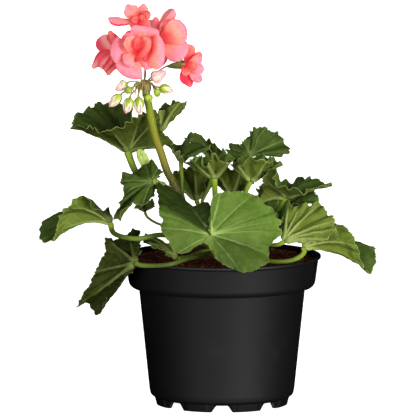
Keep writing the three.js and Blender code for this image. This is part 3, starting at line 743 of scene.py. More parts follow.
# Its upper-left sector carries deep painted shade, its left and lower lobes lighter painted shade, and its
# right half a little painted light.
grow_leaf("leaf_front", (-8, -58, 119), 1.8, [
    (-9, -46, 139), (-20, -42, 137), (-29, -32, 145), (-45, -28, 149), (-41, -58, 137), (-40, -64, 126),
    (-33, -67, 110), (-22, -66, 109), (-12, -62, 114), (-3, -64, 103), (4, -66.5, 99), (13, -68, 96.5),
    (24.5, -66.5, 96.5), (31, -61, 101.5), (31, -54, 109), (38, -50, 117), (39, -49, 126), (34, -48, 134),
    (24, -46, 143), (9, -46, 147), (-1, -50, 146), (-7, -56, 142),
], [(-6, -50, 113.5), (-4, -34, 109.5), (-3, -14, 107), (-2, 2, 107)], arch=0.09, tone=0.1, pleat=0.8,
    frill=0.5, teeth=0.8, ribs=[3.2, 5.3, 6.1, 7.4, 11.9, 14.6, 16.3, 17.1, 17.9, 19.3, 21],
    shaded=[(0, 0.26), (1.25, 0.3), (1.42, 0.82), (4, 0.8), (4.3, 0.6), (5.5, 0.66), (6.3, 1), (11, 1.08)])
grow_leaf("leaf_centre", (-5, -12, 151), 1.9, [
    (7, -6, 162), (4, 4, 165), (-6, 5, 165), (-15, -2, 164), (-25, -12, 161), (-15, -26, 166),
    (-10, -27, 162), (-6, -32, 169), (0, -28, 163), (7, -26, 166),
], [(-4.6, -10, 140), (-4, -5, 126), (-2, 0, 112)], arch=-0.02, tone=-0.15, flare=0.3)
grow_leaf("leaf_back_left", (-27, 4, 160), 1.4, [
    (-7, 12, 167), (-10, 20, 168), (-21, 30, 169), (-30, 32, 168), (-38, 22, 170), (-33, 8, 168),
    (-24, -2, 162),
], [(-26.5, 3, 150), (-26, 3, 138), (-22, 2, 127), (-12, 1, 114), (-3, 2, 104)], tone=-0.4)
grow_leaf("leaf_back_centre", (-4, 26, 155), 1.3, [
    (3, 30, 163), (-5, 42, 166), (-13, 52, 170), (-19, 50, 172), (-25, 40, 171.5), (-17, 30, 170),
    (-7, 26, 165),
], [(-6, 20, 149), (-9, 14, 140), (-13, 10, 131), (-9, 8, 120), (-3, 3, 109)], tone=-0.3)
grow_leaf("leaf_upper_right", (18, 28, 160), 1.6, [
    (45, 38, 162.5), (43, 42, 167), (38, 42, 173), (32, 38, 176), (26, 28, 180), (21, 28, 179),
    (16, 30, 173), (11, 32, 167), (9, 38, 167), (5, 38, 166), (3, 33, 160), (8, 22, 154),
], [(21, 26, 150), (11, 15, 130), (-2, 4, 108)], arch=0.09, tone=-0.43)
grow_leaf("leaf_right_small", (19, -14, 149), 1.5, [
    (39, -8, 159), (30, 10, 163), (17, 10, 163), (8, -6, 161), (12, -22, 161), (18, -32, 166),
    (26, -34, 166), (34, -28, 163),
], [(15.7, -12, 141.7), (12, -8, 130), (4, -1, 116), (-2, 1, 107)], arch=-0.02, flare=0.3)
grow_leaf("leaf_right", (42, -10, 138), 1.5, [
    (72, -4, 145), (64, 14, 145), (53, 22, 147), (43, 22, 144), (30, 14, 145), (22, 3, 140),
    (25, -9, 136.5), (27, -14, 152), (32, -22, 157), (37, -28, 149), (45, -32, 145), (56, -26, 145),
], [(38, -8, 131.6), (35, -6, 127), (24, -2, 117), (8, 1, 108), (-2, 2, 104)], arch=0.02, tone=-0.2)
grow_leaf("leaf_right_back", (41, 16, 127), 1.4, [
    (50, -2, 132), (61, 4, 132), (63, 16, 137), (55, 30, 139), (45, 36, 139), (34, 34, 135),
], [(32, 14, 118), (14, 9, 109), (-1, 3, 103)], tone=-0.3)
grow_leaf("leaf_right_bright", (41, -42, 113), 1.4, [
    (39, -36, 121), (42, -31, 133), (49, -28, 134), (60, -31, 137), (67, -36, 135), (72, -44, 131),
    (73, -50, 124), (74, -54, 120), (64, -52, 114.5),
], [(36, -41, 110.5), (28, -34, 109.5), (14, -16, 107.5), (-1, 1, 104)], arch=-0.06, tone=0.08, pleat=0.5,
    ribs=[0.8, 2.2, 3.3, 4.5, 6.6, 7.6, 8.7, 9.4])
# Its first sector carries painted shade and the rest a little painted light.
grow_leaf("leaf_far_right", (53, -34, 108), 1.65, [
    (60, -38, 117), (68, -39, 121), (77, -43, 124), (84, -47, 120), (89, -48, 109), (93, -46, 96),
    (98, -40, 93.5), (103, -34, 100), (100, -28, 107), (93, -22, 108), (83, -14, 112), (71, -10, 116),
    (60, -18, 113),
], [(53.5, -33, 104.5), (50, -33, 101), (42, -34, 98.5), (29, -31, 98.4), (14, -17, 99.5), (-1, 1, 102)],
    arch=0.1, tone=0.08, upper_tone=-0.5, pleat=1, frill=1,
    shaded=[(0, 0.6), (0.8, 0.8), (1.8, 1.1), (7, 1)])
grow_leaf("leaf_low_back_left", (-17, 28, 131), 1.5, [
    (-7, 26, 142), (-8, 44, 147), (-20, 54, 148), (-31, 48, 147), (-35, 34, 140), (-29, 16, 152),
    (-18, 12, 155), (-9, 16, 151),
], [(-12, 20, 120), (-6, 10, 110), (-1, 3, 103)], arch=0.03, tone=-0.35)
grow_leaf("leaf_low_back_right", (7, 30, 133), 1.5, [
    (20, 36, 142), (14, 56, 146), (3, 60, 148), (-7, 46, 144), (-1, 22, 152), (8, 18, 153), (16, 22, 149),
], [(6, 20, 120), (2, 10, 110), (-1, 3, 103)], arch=0.03, tone=-0.35)
grow_leaf("leaf_right_low", (37, -2, 114), 0.9, [
    (46, -2, 121), (46, 2, 131), (41, 5, 138), (33, 5, 139), (26, 4, 133), (25, 0, 121),
], [(27, -1, 108), (12, 2, 104.5), (-1, 2, 101)], tone=-0.1)
grow_leaf("leaf_young", (-51, 1, 158), 1.1, [
    (-49, 3, 160), (-49, 3, 165), (-52, 3, 168.5), (-55, 2, 166), (-54, 1, 161),
], [(-49, 2, 152), (-41, 0, 146), (-32, -7, 139)], arch=0.08)
grow_leaf("leaf_soil_left", (-29, -26, 99.5), 1.3, [
    (-35, -32, 102), (-41, -32, 107), (-47, -28, 109), (-52, -20, 111), (-49, -18, 113), (-41, -20, 112),
    (-34, -22, 108),
], [(-22, -17, 99.2), (-13, -5, 101), (-1, 4, 103)], arch=-0.04, tone=-0.3)

# The stipule. A pale, papery strap beside the youngest leaf at the end of the left shoot: narrow at its
# foot, broadest past its middle, with a blunt tip and a few fine lengthwise veins.
stipule_route = [(-47.5, -6.5, 152), (-49.5, -5.8, 157.5), (-52, -5, 163), (-54.8, -4, 168.5)]
stipule_foot = [(-48, -6.5, 152), (-46, -11, 151), (-42, -14, 148)]
stipule_across = unit(np.array([0.88, -0.1, 0.46]))
stipule_half = 0.22

shares = np.linspace(0, 1, 26)[:, None]
sideways = np.linspace(-1, 1, 17)[None, :]
reach = 2.2 * np.sin(math.pi * shares) ** 0.8 + 2.4 * shares * np.sqrt(1.02 - shares**8)
strap = along(stipule_route, shares[:, 0])[:, None, :] + stipule_across * (sideways * reach)[..., None]
strap = strap + facing(strap) * (0.7 * sideways**2 + 0.12 * np.cos(9 * sideways))[..., None]
made = ([], [], [])
sheet(made, strap, stipule_half + 0 * strap[..., 0], (0, 0))
tube(made, along(stipule_foot, np.linspace(0, 1, 14)), np.linspace(0.7, 1.0, 14), 10)

papery = Recipe("papery_stipule")
where = papery.here()
mottle = papery.spots(420, where, 4, 0.6)
fibres = papery.streaks((1900, 1900, 160), where)
papery_colour = papery.mix(
    (0.22, 0.33, 0.04),
    ((0.42, 0.52, 0.13), fibres.between(0.38, 0.62)),
    ((0.3, 0.36, 0.1), mottle.between(0.55, 0.8) * 0.5),
)
papery_paint = papery.finish(
    papery_colour, 0.55, fibres + mottle * 0.5, 0.0002, Specular_IOR_Level=0.35, Sheen_Weight=0.15,
)
plant_part(piece("papery_stipule", *made[:2], [papery_paint]), "stipule")

# The flowers. Semi-double florets of soft, satiny tissue: broad petals with narrow claws round a red
# throat, small crumpled petals within, and a downy calyx of five pointed sepals that closes them behind.
petal_shape = [
    (0.03, -0.12), (0.2, -0.32), (0.43, -0.7), (0.66, -0.97), (0.86, -0.8), (0.97, -0.4),
    (1.0, 0), (0.97, 0.4), (0.86, 0.8), (0.66, 0.97), (0.43, 0.7), (0.2, 0.32), (0.03, 0.12),
]
sepal_shape = [
    (0.02, -0.5), (0.25, -0.9), (0.5, -0.85), (0.8, -0.4), (1, 0),
    (0.8, 0.4), (0.5, 0.85), (0.25, 0.9), (0.02, 0.5),
]
pointed_shape = [
    (0.03, -0.15), (0.25, -0.55), (0.5, -0.92), (0.7, -0.86), (0.87, -0.45), (1.05, 0),
    (0.87, 0.45), (0.7, 0.86), (0.5, 0.92), (0.25, 0.55), (0.03, 0.15),
]
petal_half = 0.17
sepal_count = 5
viewer = (0, -1, 0.1)
rearward = dict(face=(0, 1, 0.2))


def petal(made, throat, spine, width, face=viewer, pale=0.5, cup=0.1, fold=0.0, frill=0.18,
          shape=petal_shape, paints=(0, 1), rows=15, columns=49):
    """Adds one petal or sepal to a flower: its spine counted from the throat, its width, the way its face
    looks, how pale it is, how far its sides cup forward, its fold along the middle, and its frill."""
    spine = np.array([(0, 0, 0), *spine], float) + throat
    edge = along(shape, np.linspace(0, 1, columns))
    reach = np.linspace(0, 1, rows)[:, None]
    length, aside = reach * edge[:, 0], reach * edge[:, 1]

    def on_spine(shift):
        return along(spine, np.clip(length + shift, 0, 1).ravel()).reshape(rows, columns, 3)

    ahead = unit(on_spine(0.02) - on_spine(-0.02))
    across = unit(np.cross(np.array(face, float), ahead))
    square = np.cross(ahead, across)
    seed = str(spine.round(1).tolist())
    wave = Ripple(seed, 0.42)(edge[:, 1] * 1.3, edge[:, 0])
    lift = cup * width * aside**2 - fold * width * (np.abs(aside) - 0.5) + frill * wave * reach**4
    lift = lift + 0.12 * Ripple(seed + "crease", 0.3)(length, aside) * reach * width / 14
    places = on_spine(0) + across * (aside * width / 2)[..., None] + square * lift[..., None]
    sheet(made, places, petal_half + 0 * aside, paints)
    marks = np.stack([length, aside, pale + 0 * aside], axis=-1).reshape(-1, 3).tolist()
    made[2].extend(marks + marks)


def round_about(axis, lean, start):
    """The directions square to an axis in which the sepals stand."""
    first = unit(np.cross(axis, lean))
    other = np.cross(axis, first)
    turns = [full_turn * number / sepal_count + start for number in range(sepal_count)]
    return [first * math.cos(turn) + other * math.sin(turn) for turn in turns]


# Each petal is given by its width, how pale it is, its cup and its spine, and by what else is its own.
flowers = {
    "flower_front": dict(throat=(-54, -29, 235), calyx=(-54, -20, 231), petals=[
        (17.5, 0.85, -0.08, [(-7, 0.5, 1), (-14, -2.5, 2), (-18.8, -1, 2.3)]),
        (20, 0.85, -0.08, [(-3.5, 0, -6), (-6.5, -3, -11.5), (-8.5, -1.5, -15.8)]),
        (13, 0.7, -0.06, [(3, 3, -3), (7, 1, -6), (10, 0, -9)]),
        (23.5, 0.45, 0.0, [(5, 5, 0.5), (8.5, 0, 0.5), (12.5, -1.8, 0.5), (17, 0.5, 0.3)]),
        (20, 0.6, 0.08, [(1.5, 5, 5), (3, 6, 10), (4, 4, 14), (4.6, 6.5, 16.8)], dict(frill=0.04)),
        (12, 0.5, 0.1, [(-4, 6, 5), (-6, 4, 9), (-6.5, 1.5, 13)]),
        (12, 0.2, 0.15, [(-3, -1, 3), (-6, -4.5, 7), (-6.5, -6.5, 12)], dict(face=(0.6, -1, 0))),
        (11, 0.6, -0.12, [(-3, -3, -2), (-7, -6, -4.5), (-9.5, -5.5, -6.5)], dict(fold=0.14)),
        (5.5, -0.1, -0.3, [(-3, -5, -4.5), (0.5, -8.5, -1), (4, -10, 3.5), (5, -9.5, 8.5), (2.5, -8, 11.5)],
         dict(face=(-0.6, -1, 0.2))),
        (8, -1.1, 0.2, [(0, -2, 3), (-0.5, -4, 7), (1.5, -4.5, 11)], dict(face=(0.4, -1, 0))),
        (11, -1.5, 0.2, [(4, 3, 1), (6.5, 2, 5), (8, -2, 10)], dict(face=(-0.8, -1, 0))),
        (10, -1.5, 0.15, [(3, 2, -1), (6, 2.5, -2), (8.5, 1, -3)]),
    ]),
    "flower_right_back": dict(throat=(-43, -14, 242), calyx=(-47, -9, 237), petals=[
        (5, 0.9, -0.2, [(0, 4, 5), (-0.5, 7, 10), (0, 8, 14)]),
        (10.5, 0.45, 0.1, [(3, 3, 7), (7.5, 5, 13.5), (12, 5.5, 19)],
         dict(fold=0.3, face=(-0.75, -1, 0.3))),
        (17.5, 0.35, 0.07, [(6, -3, 2), (13, -6, 5.5), (19.5, -2, 8)], dict(frill=0.3)),
        (17.5, 0.7, -0.12, [(6, -0.5, -3), (13, -1.5, -6.5), (19, -2, -11)]),
        (7, 0.2, 0.1, [(2, 1, 2), (5, 0, 5), (6, 1, 9.5)]),
        (6, 0.5, 0.2, [(3, 0, 4), (6, 0, 9), (11, 0, 12)], dict(face=(-0.4, -1, 0.4))),
    ]),
    "flower_top_left": dict(throat=(-54, -8, 254), calyx=(-50, -5, 248), petals=[
        (7, 0.8, -0.15, [(-7, -2, 0), (-14, -4.5, 0.8), (-20.5, -4, 1.6)], dict(face=(0, -0.7, 1))),
        (6, 0.1, 0.15, [(-7, -1.5, -1), (-14, -3, -0.6), (-20, -3.5, 0.2)], dict(face=(0, 1, -0.4))),
        (11, 0.6, 0.1, [(-3, 0.5, 3.5), (-6, 1, 6.5), (-8.2, 2, 10)], dict(shape=pointed_shape, frill=0.2)),
        (6.5, 0.2, 0.1, [(-1, 1, 2), (-2, 1.5, 3.5), (-1.5, 2.5, 5.5)], dict(frill=0.5)),
        (7.5, 0.5, 0.1, [(1.5, 1.5, 3.5), (2.5, 3, 7.5), (2.7, 4, 10.4)],
         dict(shape=pointed_shape, fold=0.2)),
        (6.5, -0.4, 0.1, [(2, -1.5, 2), (4.5, -3.5, 3.5), (7.2, -4, 2.5)], dict(frill=1.4)),
        (6, -0.5, 0.1, [(1.5, -2.5, 0), (3.5, -5, -1), (7, -5, -1.5)], dict(frill=1.4)),
        (6, -0.3, 0.1, [(0, -2.5, -1), (1, -5, -3), (3.5, -5.5, -5)], dict(frill=1.2)),
        (7, -1, 0.1, [(-2, -1.5, -1), (-3.5, -2.5, -2.5), (-6, -3, -4.2)]),
        (6, -0.4, 0.2, [(-1, -3, 0), (-2.5, -5, 1.2), (-3.5, -5, 3)], dict(frill=0.9)),
        (5.5, -0.4, 0.2, [(0.5, -3, 0.5), (1.5, -5.5, 1.5), (3.5, -6, 3)], dict(frill=1.3)),
    ]),
    "flower_left": dict(throat=(-68, -6, 231), calyx=(-61, -10, 229), petals=[
        (15, 0.7, 0.12, [(-4, 1, 4), (-8, 3, 8), (-9.5, 6, 12.5)], dict(face=(0.2, 1, -0.3))),
        (10.5, 0.1, 0.1, [(-2, 0, 6), (-4, 1, 10.5), (-5.5, 3, 15.5)],
         dict(face=(0.6, 1, 0), shape=pointed_shape)),
        (10, 0.2, 0.1, [(-5, 2.5, 4), (-10, 6, 8), (-12.5, 8, 10.5)], dict(face=(0.2, 1, 0))),
        (11, 0.5, 0.15, [(-6, -1, 0), (-11, 0, -3), (-17, 3, -9)],
         dict(face=(0, 1, -0.3), shape=pointed_shape)),
        (12, 0.3, 0.12, [(-3, -2, -4), (-5, -3, -8), (-6, 1, -13.5)],
         dict(face=(-0.3, 1, 0), shape=pointed_shape)),
        (10, 0.9, 0.1, [(-4, -3.5, -1), (-8, -5.5, -3), (-11.5, -3, -9)], dict(fold=0.2, face=(0.2, 1, 0))),
        (6, 0.2, 0.2, [(-3, -4, -1), (-5, -6, -5), (-9, -5, -10)], dict(face=(-0.4, 1, 0))),
    ]),
    "flower_right": dict(throat=(-24, -9, 225), calyx=(-35, -2, 223), petals=[
        (8.5, 0.0, -0.15, [(1, 1, 5), (2.5, 1.5, 9), (4, 1, 13)]),
        (6, -0.3, 0.1, [(4, 1, 3), (8, 2, 5), (10, 1.5, 8)]),
        (7.5, 0.55, 0.1, [(4, -2, 1.5), (8, -3, 3), (11, -2, 2.5)], dict(frill=0.7)),
        (8, 0.9, -0.15, [(4, -3, -1), (8.5, -4.5, -2.5), (11.7, -3.5, -4.5)], dict(frill=0.7)),
        (7, 0.8, -0.1, [(3.5, -2, -4), (7, -3.5, -7.5), (10.5, -3, -11)], dict(frill=0.5)),
        (11, -1.7, 0.1, [(0.5, 0, -5), (1.8, 1, -10), (3.6, 2, -15)],
         dict(face=(0, 1, 0), shape=pointed_shape)),
        (6, -0.3, 0.2, [(2, -2, 0), (4.5, -4, -1), (7.5, -4.5, 0)], dict(frill=1.3)),
        (6, -0.2, 0.2, [(-1, -3, -2), (0.5, -5, -4), (2, -5, -6)], dict(frill=1)),
    ]),
    "flower_back": dict(throat=(-48, 14, 236), calyx=(-49, 6, 233), petals=[
        (14, 0.85, -0.08, [(-6, 1.5, 1), (-12, 1.5, 3), (-17, -0.5, 4)], rearward),
        (14, 0.9, -0.08, [(-4, 2, -5), (-7, 3, -10), (-10, 2.5, -15)], rearward),
        (14, 0.85, -0.08, [(3, 2, -5), (6, 3, -10), (9, 2.5, -15)], rearward),
        (14, 0.8, -0.08, [(6, 1.5, 0), (11, 1.5, 1.5), (16, -0.5, 2)], rearward),
        (15, 0.8, 0.02, [(0, 1, 6), (0, 0.5, 11), (0, -2, 16)], rearward),
        (8, 0.4, 0.2, [(-2, 4, 2), (-3, 6.5, 5), (-2, 6.5, 8.5)], dict(face=(0, 1, 0))),
        (7, 0.3, 0.2, [(2, 4, -1), (5, 6.5, -1), (7, 5.5, 2)], dict(face=(0, 1, 0))),
    ]),
}


def petal_paint(name, back):
    """Satiny petal tissue: deep red in the throat, coral over the claw, pink to the margin, with fine
    forked veins that fan out from the claw. The back is redder, with a pale streak along the middle."""
    paint = Recipe(name)
    length, aside, pale = paint.parts("petal")
    where = paint.here()
    cloud = paint.spots(190, where, 3, 0.55)
    grain = paint.spots(1500, where, 2)
    fan = aside / (length + 0.12)
    fanned = paint.add("CombineXYZ", None, {0: fan * 15, 1: length * 2.2, 2: pale * 40})
    veins = abs(paint.spots(1, fanned, 3, 0.6) - 0.5).between(0.06, 0.0)
    deep, coral = (0.78, 0.008, 0.03), (0.95, 0.13, 0.11)
    peach, pink = (0.98, 0.26, 0.185), (0.97, 0.22, 0.305)
    blush = length + (cloud - 0.5) * 0.3 + (pale - 0.5) * 0.7
    colour = paint.mix(
        coral,
        (peach, blush.between(0.2, 0.6)),
        (pink, blush.between(0.5, 0.9)),
        (deep, (length + pale * 0.28 + (cloud - 0.5) * 0.25).between(0.7, 0.16)),
        ((0.98, 0.5, 0.42), veins * length.between(0.15, 0.5) * 0.35),
    )
    if back:
        sides = abs(aside).between(0.0, 0.7) * (1.1 - pale * 0.45)
        streak = abs(aside).between(0.45, 0.05) * length.between(0.05, 0.4) * pale.between(0.1, 0.7)
        colour = paint.mix(colour, ((0.76, 0.022, 0.075), sides), ((0.97, 0.5, 0.43), streak * 0.75))
    rim = (length ** 2 + aside ** 2 * 0.35).between(0.93, 1.12)
    colour = paint.mix(colour, ((0.88, 0.05, 0.16), rim * 0.6))
    return paint.finish(
        colour, 0.48 + 0.1 * cloud, grain * 0.4 - veins * 0.4 + cloud * 0.4, 0.00012,
        Specular_IOR_Level=0.2, Sheen_Weight=0.02, Sheen_Roughness=0.4,
        Subsurface_Weight=0.6, Subsurface_Radius=(0.006, 0.0012, 0.0012), Subsurface_Scale=0.5,
        # The faint red emission is painted light: a glow that fills the petals' shade as if light shone
        # through them.
        Emission_Color=(1, 0.1, 0.11), Emission_Strength=0.13,
    )


downy = dict(Specular_IOR_Level=0.35, Sheen_Weight=0.08, Sheen_Roughness=0.4)
calyx = Recipe("downy_calyx")
where = calyx.here()
flush = calyx.spots(210, where, 3, 0.6)
ridges = calyx.spots(1400, where, 2)
calyx_colour = calyx.mix(
    (0.13, 0.17, 0.035),
    ((0.3, 0.33, 0.07), flush.between(0.35, 0.65)),
    ((0.16, 0.055, 0.03), flush.between(0.5, 0.72) * 0.6),
)
calyx_paint = calyx.finish(calyx_colour, 0.55, ridges + flush, 0.0002, **downy)
flower_paints = [petal_paint("petal_face", False), petal_paint("petal_back", True), calyx_paint]
calyx_sepal = dict(width=3.4, cup=-0.2, frill=0.05, shape=sepal_shape, paints=(2, 2), rows=9, columns=21)

for name, flower in flowers.items():
    made = ([], [], [])
    throat, foot = np.array(flower["throat"], float), np.array(flower["calyx"], float)
    for width, pale, cup, spine, *own in flower["petals"]:
        petal(made, throat, spine, width, pale=pale, cup=cup, **(own[0] if own else {}))
    span = np.linalg.norm(throat - foot)
    axis = (throat - foot) / span
    for outward in round_about(axis, (0.2, 0.1, 1), 0.4):
        steps = ((0.3, 1.7), (0.75, 2.6), (1, 4.2))
        route = [axis * span * share + outward * away for share, away in steps]
        petal(made, foot, route, face=outward, **calyx_sepal)
    neck = along([foot, foot * 0.5 + throat * 0.5, throat], np.linspace(0, 1, 10))
    tube(made, neck, 1.0 + 0.9 * np.sin(np.linspace(0.1, 2.6, 10)), 12, 2)
    floret = piece(name.replace("flower", "floret"), *made[:2], flower_paints, {"petal": made[2]})
    plant_part(floret, name)

# The buds. Pointed buds nod below the open flowers. Five downy green sepals with pale pink margins close
# round the furled petals, which show at the tip as they colour.
buds = {
    "bud_upper_right": dict(base=(-45.5, -16, 216), tip=(-36, -20, 222), radius=4.1, bare=0.75),
    "bud_left": dict(base=(-62, -12, 213), tip=(-70, -14, 208.5), radius=3.4, bare=0.6),
    "bud_lower_left": dict(base=(-66, -16, 206), tip=(-74, -18, 198), radius=3.0, bare=0.5),
    "bud_hanging_left": dict(base=(-60, -20, 204.5), tip=(-63, -22, 194), radius=3.2, bare=0.5),
    "bud_hanging_right": dict(base=(-54.5, -20, 205), tip=(-54, -22, 193.5), radius=3.2, bare=0.5),
    "bud_right": dict(base=(-41, -14, 210.5), tip=(-31.5, -15, 208), radius=3.0, bare=0.45),
    "bud_green_left": dict(base=(-59, -17, 210.5), tip=(-63.5, -19, 207.5), radius=2.1, bare=0.0),
    "bud_green_middle": dict(base=(-48.5, -16, 206.5), tip=(-47.5, -17, 200), radius=2.5, bare=0.0),
    "bud_green_right": dict(base=(-43, -15, 209.5), tip=(-41.5, -18, 204.5), radius=2.1, bare=0.0),
}
bud_sepal = dict(cup=-0.2, frill=0.03, shape=sepal_shape, paints=(1, 1), rows=10, columns=25)
bud_sepal_way = ((0.1, 0.66), (0.33, 1.04), (0.6, 1.02), (0.85, 0.68), (1.0, 0.3))

furled = Recipe("furled_petals")
length, around, bare = furled.parts("petal")
mottle = furled.spots(420, furled.here(), 3)
blush = length + (mottle - 0.5) * 0.5 + bare * 0.6
twist = abs((around * 5.0 + length * 1.2) % 1.0 - 0.5).between(0.16, 0.0)
furled_colour = furled.mix(
    (0.84, 0.74, 0.6),
    ((0.9, 0.42, 0.44), blush.between(0.75, 1.3)),
    ((0.75, 0.1, 0.16), twist * length.between(0.5, 1.0) * 0.6),
)
furled_colour = furled.mix((0.3, 0.4, 0.06), (furled_colour, bare.between(0.02, 0.1)))
furled_paint = furled.finish(
    furled_colour, 0.5, mottle * 0.5 - twist, 0.0003, Specular_IOR_Level=0.35, Sheen_Weight=0.3,
    Subsurface_Weight=0.2, Subsurface_Radius=(0.003, 0.002, 0.0015), Subsurface_Scale=0.5,
)
sepal = Recipe("bud_sepal")
length, aside, bare = sepal.parts("petal")
where = sepal.here()
mottle = sepal.spots(380, where, 3, 0.6)
down = sepal.spots(2300, where, 2)
hem = (abs(aside) + length * 2.0 + bare * 2.8).between(2.75, 3.0)
cream = sepal.mix((0.86, 0.7, 0.56), ((0.9, 0.36, 0.37), bare.between(0.55, 0.85) * (mottle * 0.6 + 0.4)))
sepal_colour = sepal.mix(
    (0.22, 0.33, 0.02),
    ((0.4, 0.5, 0.05), mottle.between(0.35, 0.65)),
    ((0.2, 0.13, 0.05), mottle.between(0.55, 0.75) * length.between(0.3, 0.0) * 0.6),
    (cream, hem * (bare + 0.02).between(0.0, 0.2)),
    ((0.85, 0.3, 0.34), length.between(0.8, 1.0) * bare.between(0.05, 0.3) * 0.7),
    ((0.8, 0.22, 0.3), abs(aside).between(0.88, 1.0) * bare.between(0.2, 0.5) * 0.6),
)
sepal_paint = sepal.finish(sepal_colour, 0.5, mottle + down * 0.6, 0.00025, **downy)

for name, bud in buds.items():
    base, tip = np.array(bud["base"], float), np.array(bud["tip"], float)
    length, radius, bare = np.linalg.norm(tip - base), bud["radius"], bud["bare"]
    axis = (tip - base) / length
    made = ([], [], [])
    shares = np.linspace(0, 1, 22)
    body = radius * 0.9 * np.sin(math.pi * shares**0.9) ** 0.6 * (1 - 0.2 * shares)
    tube(made, base + axis * length * shares[:, None] * 0.98, np.maximum(body, 0.12), 20)
    made[2][:] = [(share, side, bare) for share, _, side in made[2]]
    reach = length * (0.9 if bare < 0.55 else 0.6)
    width = radius * (1.42 if bare else 1.75)
    for outward in round_about(axis, (0.3, 1, 0.2), math.pi / 2):
        route = [axis * reach * share + outward * radius * away for share, away in bud_sepal_way]
        petal(made, base, route, width, outward, bare, **bud_sepal)
    bud_name = name.replace("bud", "floret_bud")
    plant_part(piece(bud_name, *made[:2], [furled_paint, sepal_paint], {"petal": made[2]}), name)

# The flower stalk. One thick, downy green stalk from the left shoot, yellow-green above and browner
# below. At its top a hub with small bracts and pale drooping wisps sends one thin, hairy, reddish stalk to
# each flower and bud.
hub = np.array([-51, -8, 212.0])
stalk_route = [
    (-51, -8, 212), (-48.5, -8, 201), (-47, -8, 193), (-44, -8, 178.5), (-40, -9, 167),
    (-36, -10, 155), (-32.5, -11, 148.5), (-30, -11, 143), (-27, -8, 134),
]
stalk_radius = 2.55
hub_radius = 3.1
bract_count = 13
wisp_count = 26
bends = {
    "flower_front": (-50, -14, 222), "flower_right_back": (-50, -6, 226), "flower_top_left": (-49, -3, 232),
    "flower_left": (-56, -9, 221), "flower_right": (-43, -4, 219), "flower_back": (-50, 0, 222),
}
made = ([], [], [])
shares = np.linspace(0, 1, 90)
thick = stalk_radius + 0.3 * np.exp(-((shares / 0.04) ** 2)) + 0.25 * np.clip((shares - 0.85) / 0.15, 0, 1)
tube(made, along(stalk_route, shares), thick * np.sqrt(np.clip((1 - shares) * 30, 0.05, 1)), 22)
ends = [(name, flower["calyx"], flower["throat"]) for name, flower in flowers.items()]
ends += [(name, bud["base"], bud["tip"]) for name, bud in buds.items()]
for name, end, beyond in ends:
    end = np.array(end, float)
    back = unit(end - beyond)
    bend = bends.get(name, hub * 0.5 + (end + back * 2.3) * 0.5 + (0, 0, 0.8))
    route = along([hub, bend, end + back * 2, end + back * 0.1], np.linspace(0, 1, 30))
    tube(made, route, 0.55 + 0.35 * np.linspace(0, 1, 30) ** 6, 8, 1)
for number in range(bract_count):
    outward = spoke(full_turn * number / bract_count)
    drop = 1.6 * math.sin(number * 2.4)
    route = [outward * 2.6 + (0, 0, 0.4), outward * 3.7 + (0, 0, -1.2), outward * 4.1 + (0, 0, -4.6 + drop)]
    petal(made, hub, route, 2.2, (0, 0, 1), shape=sepal_shape, frill=0.1, paints=(2, 2), rows=7, columns=17)
for number in range(wisp_count):
    outward = spoke(2.4 * number)
    drop = 6.5 + 3 * math.sin(number * 1.7)
    spread = 1.15 + 0.4 * math.sin(number * 0.9)
    ways = ((1.5, 0), (3.8 * spread, 0.6), (5.4 * spread, -0.5 * drop), (5.9 * spread, -drop))
    route = np.array([outward * away + (0, 0, rise) for away, rise in ways])
    tube(made, along(hub + route, np.linspace(0, 1, 14)), 0.42 - 0.25 * np.linspace(0, 1, 14), 6, 3)
hub_turns = np.linspace(0.02, math.pi - 0.02, 12)
tube(made, [hub + (0, 0, 3.2 * math.cos(turn)) for turn in hub_turns], hub_radius * np.sin(hub_turns), 20, 2)

stout = Recipe("stout_flower_stalk")
run = stout.split(stout.mark("petal"), "X")
where = stout.here()
mottle = stout.spots(240, where, 4, 0.6)
lines = stout.streaks((1100, 1100, 60), where)
stout_colour = stout.mix(
    (0.18, 0.24, 0.01),
    ((0.185, 0.17, 0.015), run.between(0.1, 0.55)),
    ((0.06, 0.055, 0.012), run.between(0.5, 0.85)),
    ((0.32, 0.36, 0.06), lines.between(0.5, 0.75) * 0.3),
)
faint_down = dict(Specular_IOR_Level=0.12, Sheen_Weight=0.01, Sheen_Roughness=0.4)
stout_paint = stout.finish(stout_colour, 0.5, mottle + lines, 0.00025, **faint_down)
thin = Recipe("thin_flower_stalk")
where = thin.here()
mottle = thin.spots(330, where, 3, 0.6)
down = thin.spots(2600, where, 2)
thin_colour = thin.mix((0.26, 0.29, 0.06), ((0.3, 0.12, 0.06), mottle.between(0.4, 0.65)))
thin_paint = thin.finish(thin_colour, 0.55, mottle + down, 0.00025, Sheen_Weight=0.1, Sheen_Roughness=0.4)


def limp_paint(name, scale, pale, dark, ends, relief):
    """The papery tissue of the hub: two colours in soft patches."""
    paint = Recipe(name)
    mottle = paint.spots(scale, paint.here(), 3, 0.6)
    colour = paint.mix(pale, (dark, mottle.between(*ends)))
    return paint.finish(colour, 0.6, mottle, relief, Sheen_Weight=0.08, Sheen_Roughness=0.4)


bract_paint = limp_paint("hub_bract", 300, (0.2, 0.26, 0.045), (0.32, 0.2, 0.07), (0.4, 0.7), 0.0003)
wisp_paint = limp_paint("hub_wisp", 420, (0.44, 0.36, 0.17), (0.3, 0.24, 0.08), (0.35, 0.65), 0.0002)
umbel_paints = [stout_paint, thin_paint, bract_paint, wisp_paint]
plant_part(piece("umbel_stalk", *made[:2], umbel_paints, {"petal": made[2]}), "flower_stalk")

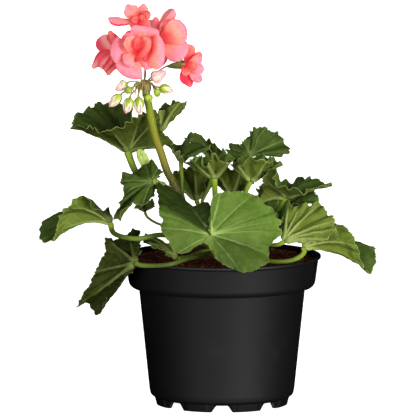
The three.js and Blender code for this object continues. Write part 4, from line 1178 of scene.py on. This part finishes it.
# The studio. A plain pale floor that rises ten metres away into a low rim, so that no edge of it shows.
# A wide soft light stands low at the right of the front, weaker ones at the left and behind, and a faint
# one overhead.
floor_rings = [(0.5, 0), (8, 0), (9, 0.06), (9.5, 0.3), (9.8, 0.8), (9.95, 1.4)]
floor_sides = 96
aim_at = (axis_x / 1000 - 0.0095, axis_y / 1000, 0.1295)
camera_rise = math.radians(7.6)
camera_distance = 6.0
view_width = 0.27224
sensor_width = 36

floor_paint = Recipe("pale_floor")
tint = floor_paint.spots(0.6, floor_paint.here(), 2)
floor_colour = floor_paint.mix((0.86, 0.86, 0.86), ((0.88, 0.88, 0.88), tint))
floor_points = [place for reach, rise in floor_rings for place in ring(floor_sides, reach, rise)]
floor_faces = [corners for corners, _ in grid_faces(len(floor_rings), floor_sides, around=True)]
floor_mesh = bpy.data.meshes.new("floor")
floor_mesh.from_pydata(floor_points, [], [list(range(floor_sides)), *floor_faces])
floor_mesh.materials.append(floor_paint.finish(
    floor_colour, 0.9, Specular_IOR_Level=0.1, Emission_Color=(1, 1, 1), Emission_Strength=1.0,
))
floor = placed("floor", floor_mesh)
floor.visible_glossy = False
floor.visible_diffuse = False


def softbox(name, place, width, height, power):
    """A large soft rectangular light that points at the plant and isn't seen itself."""
    light = bpy.data.lights.new(name, "AREA")
    light.shape = "RECTANGLE"
    light.size = width
    light.size_y = height
    light.energy = power
    lamp = placed(name, light)
    lamp.location = place
    gaze = Vector(aim_at) - Vector(place)
    lamp.rotation_euler = gaze.to_track_quat("-Z", "Y").to_euler()
    lamp.visible_camera = False
    return lamp


softbox("front_light", (1.25, -1.9, 0.32), 1.5, 0.8, 80)
softbox("left_light", (-1.2, -2.2, 0.4), 1.3, 0.8, 34)
softbox("top_light", (0.2, 0.3, 2.4), 1.4, 1.4, 5)
softbox("back_light", (-0.9, 2.2, 0.9), 1.2, 1.0, 30).visible_glossy = False

room = bpy.data.worlds.new("room")
room.use_nodes = True
room.node_tree.nodes["Background"].inputs["Color"].default_value = (1, 1, 1, 1)
room.node_tree.nodes["Background"].inputs["Strength"].default_value = 0.1
room.cycles_visibility.glossy = False
bpy.context.scene.world = room
bpy.context.scene.view_settings.view_transform = "Standard"

camera_data = bpy.data.cameras.new("camera")
camera_data.sensor_width = sensor_width
camera_data.lens = sensor_width * camera_distance / view_width
camera_data.clip_end = 100
camera = placed("camera", camera_data)
camera.location = (
    aim_at[0],
    aim_at[1] - camera_distance * math.cos(camera_rise),
    aim_at[2] + camera_distance * math.sin(camera_rise),
)
camera.rotation_euler = (math.pi / 2 - camera_rise, 0, 0)
bpy.context.scene.camera = camera

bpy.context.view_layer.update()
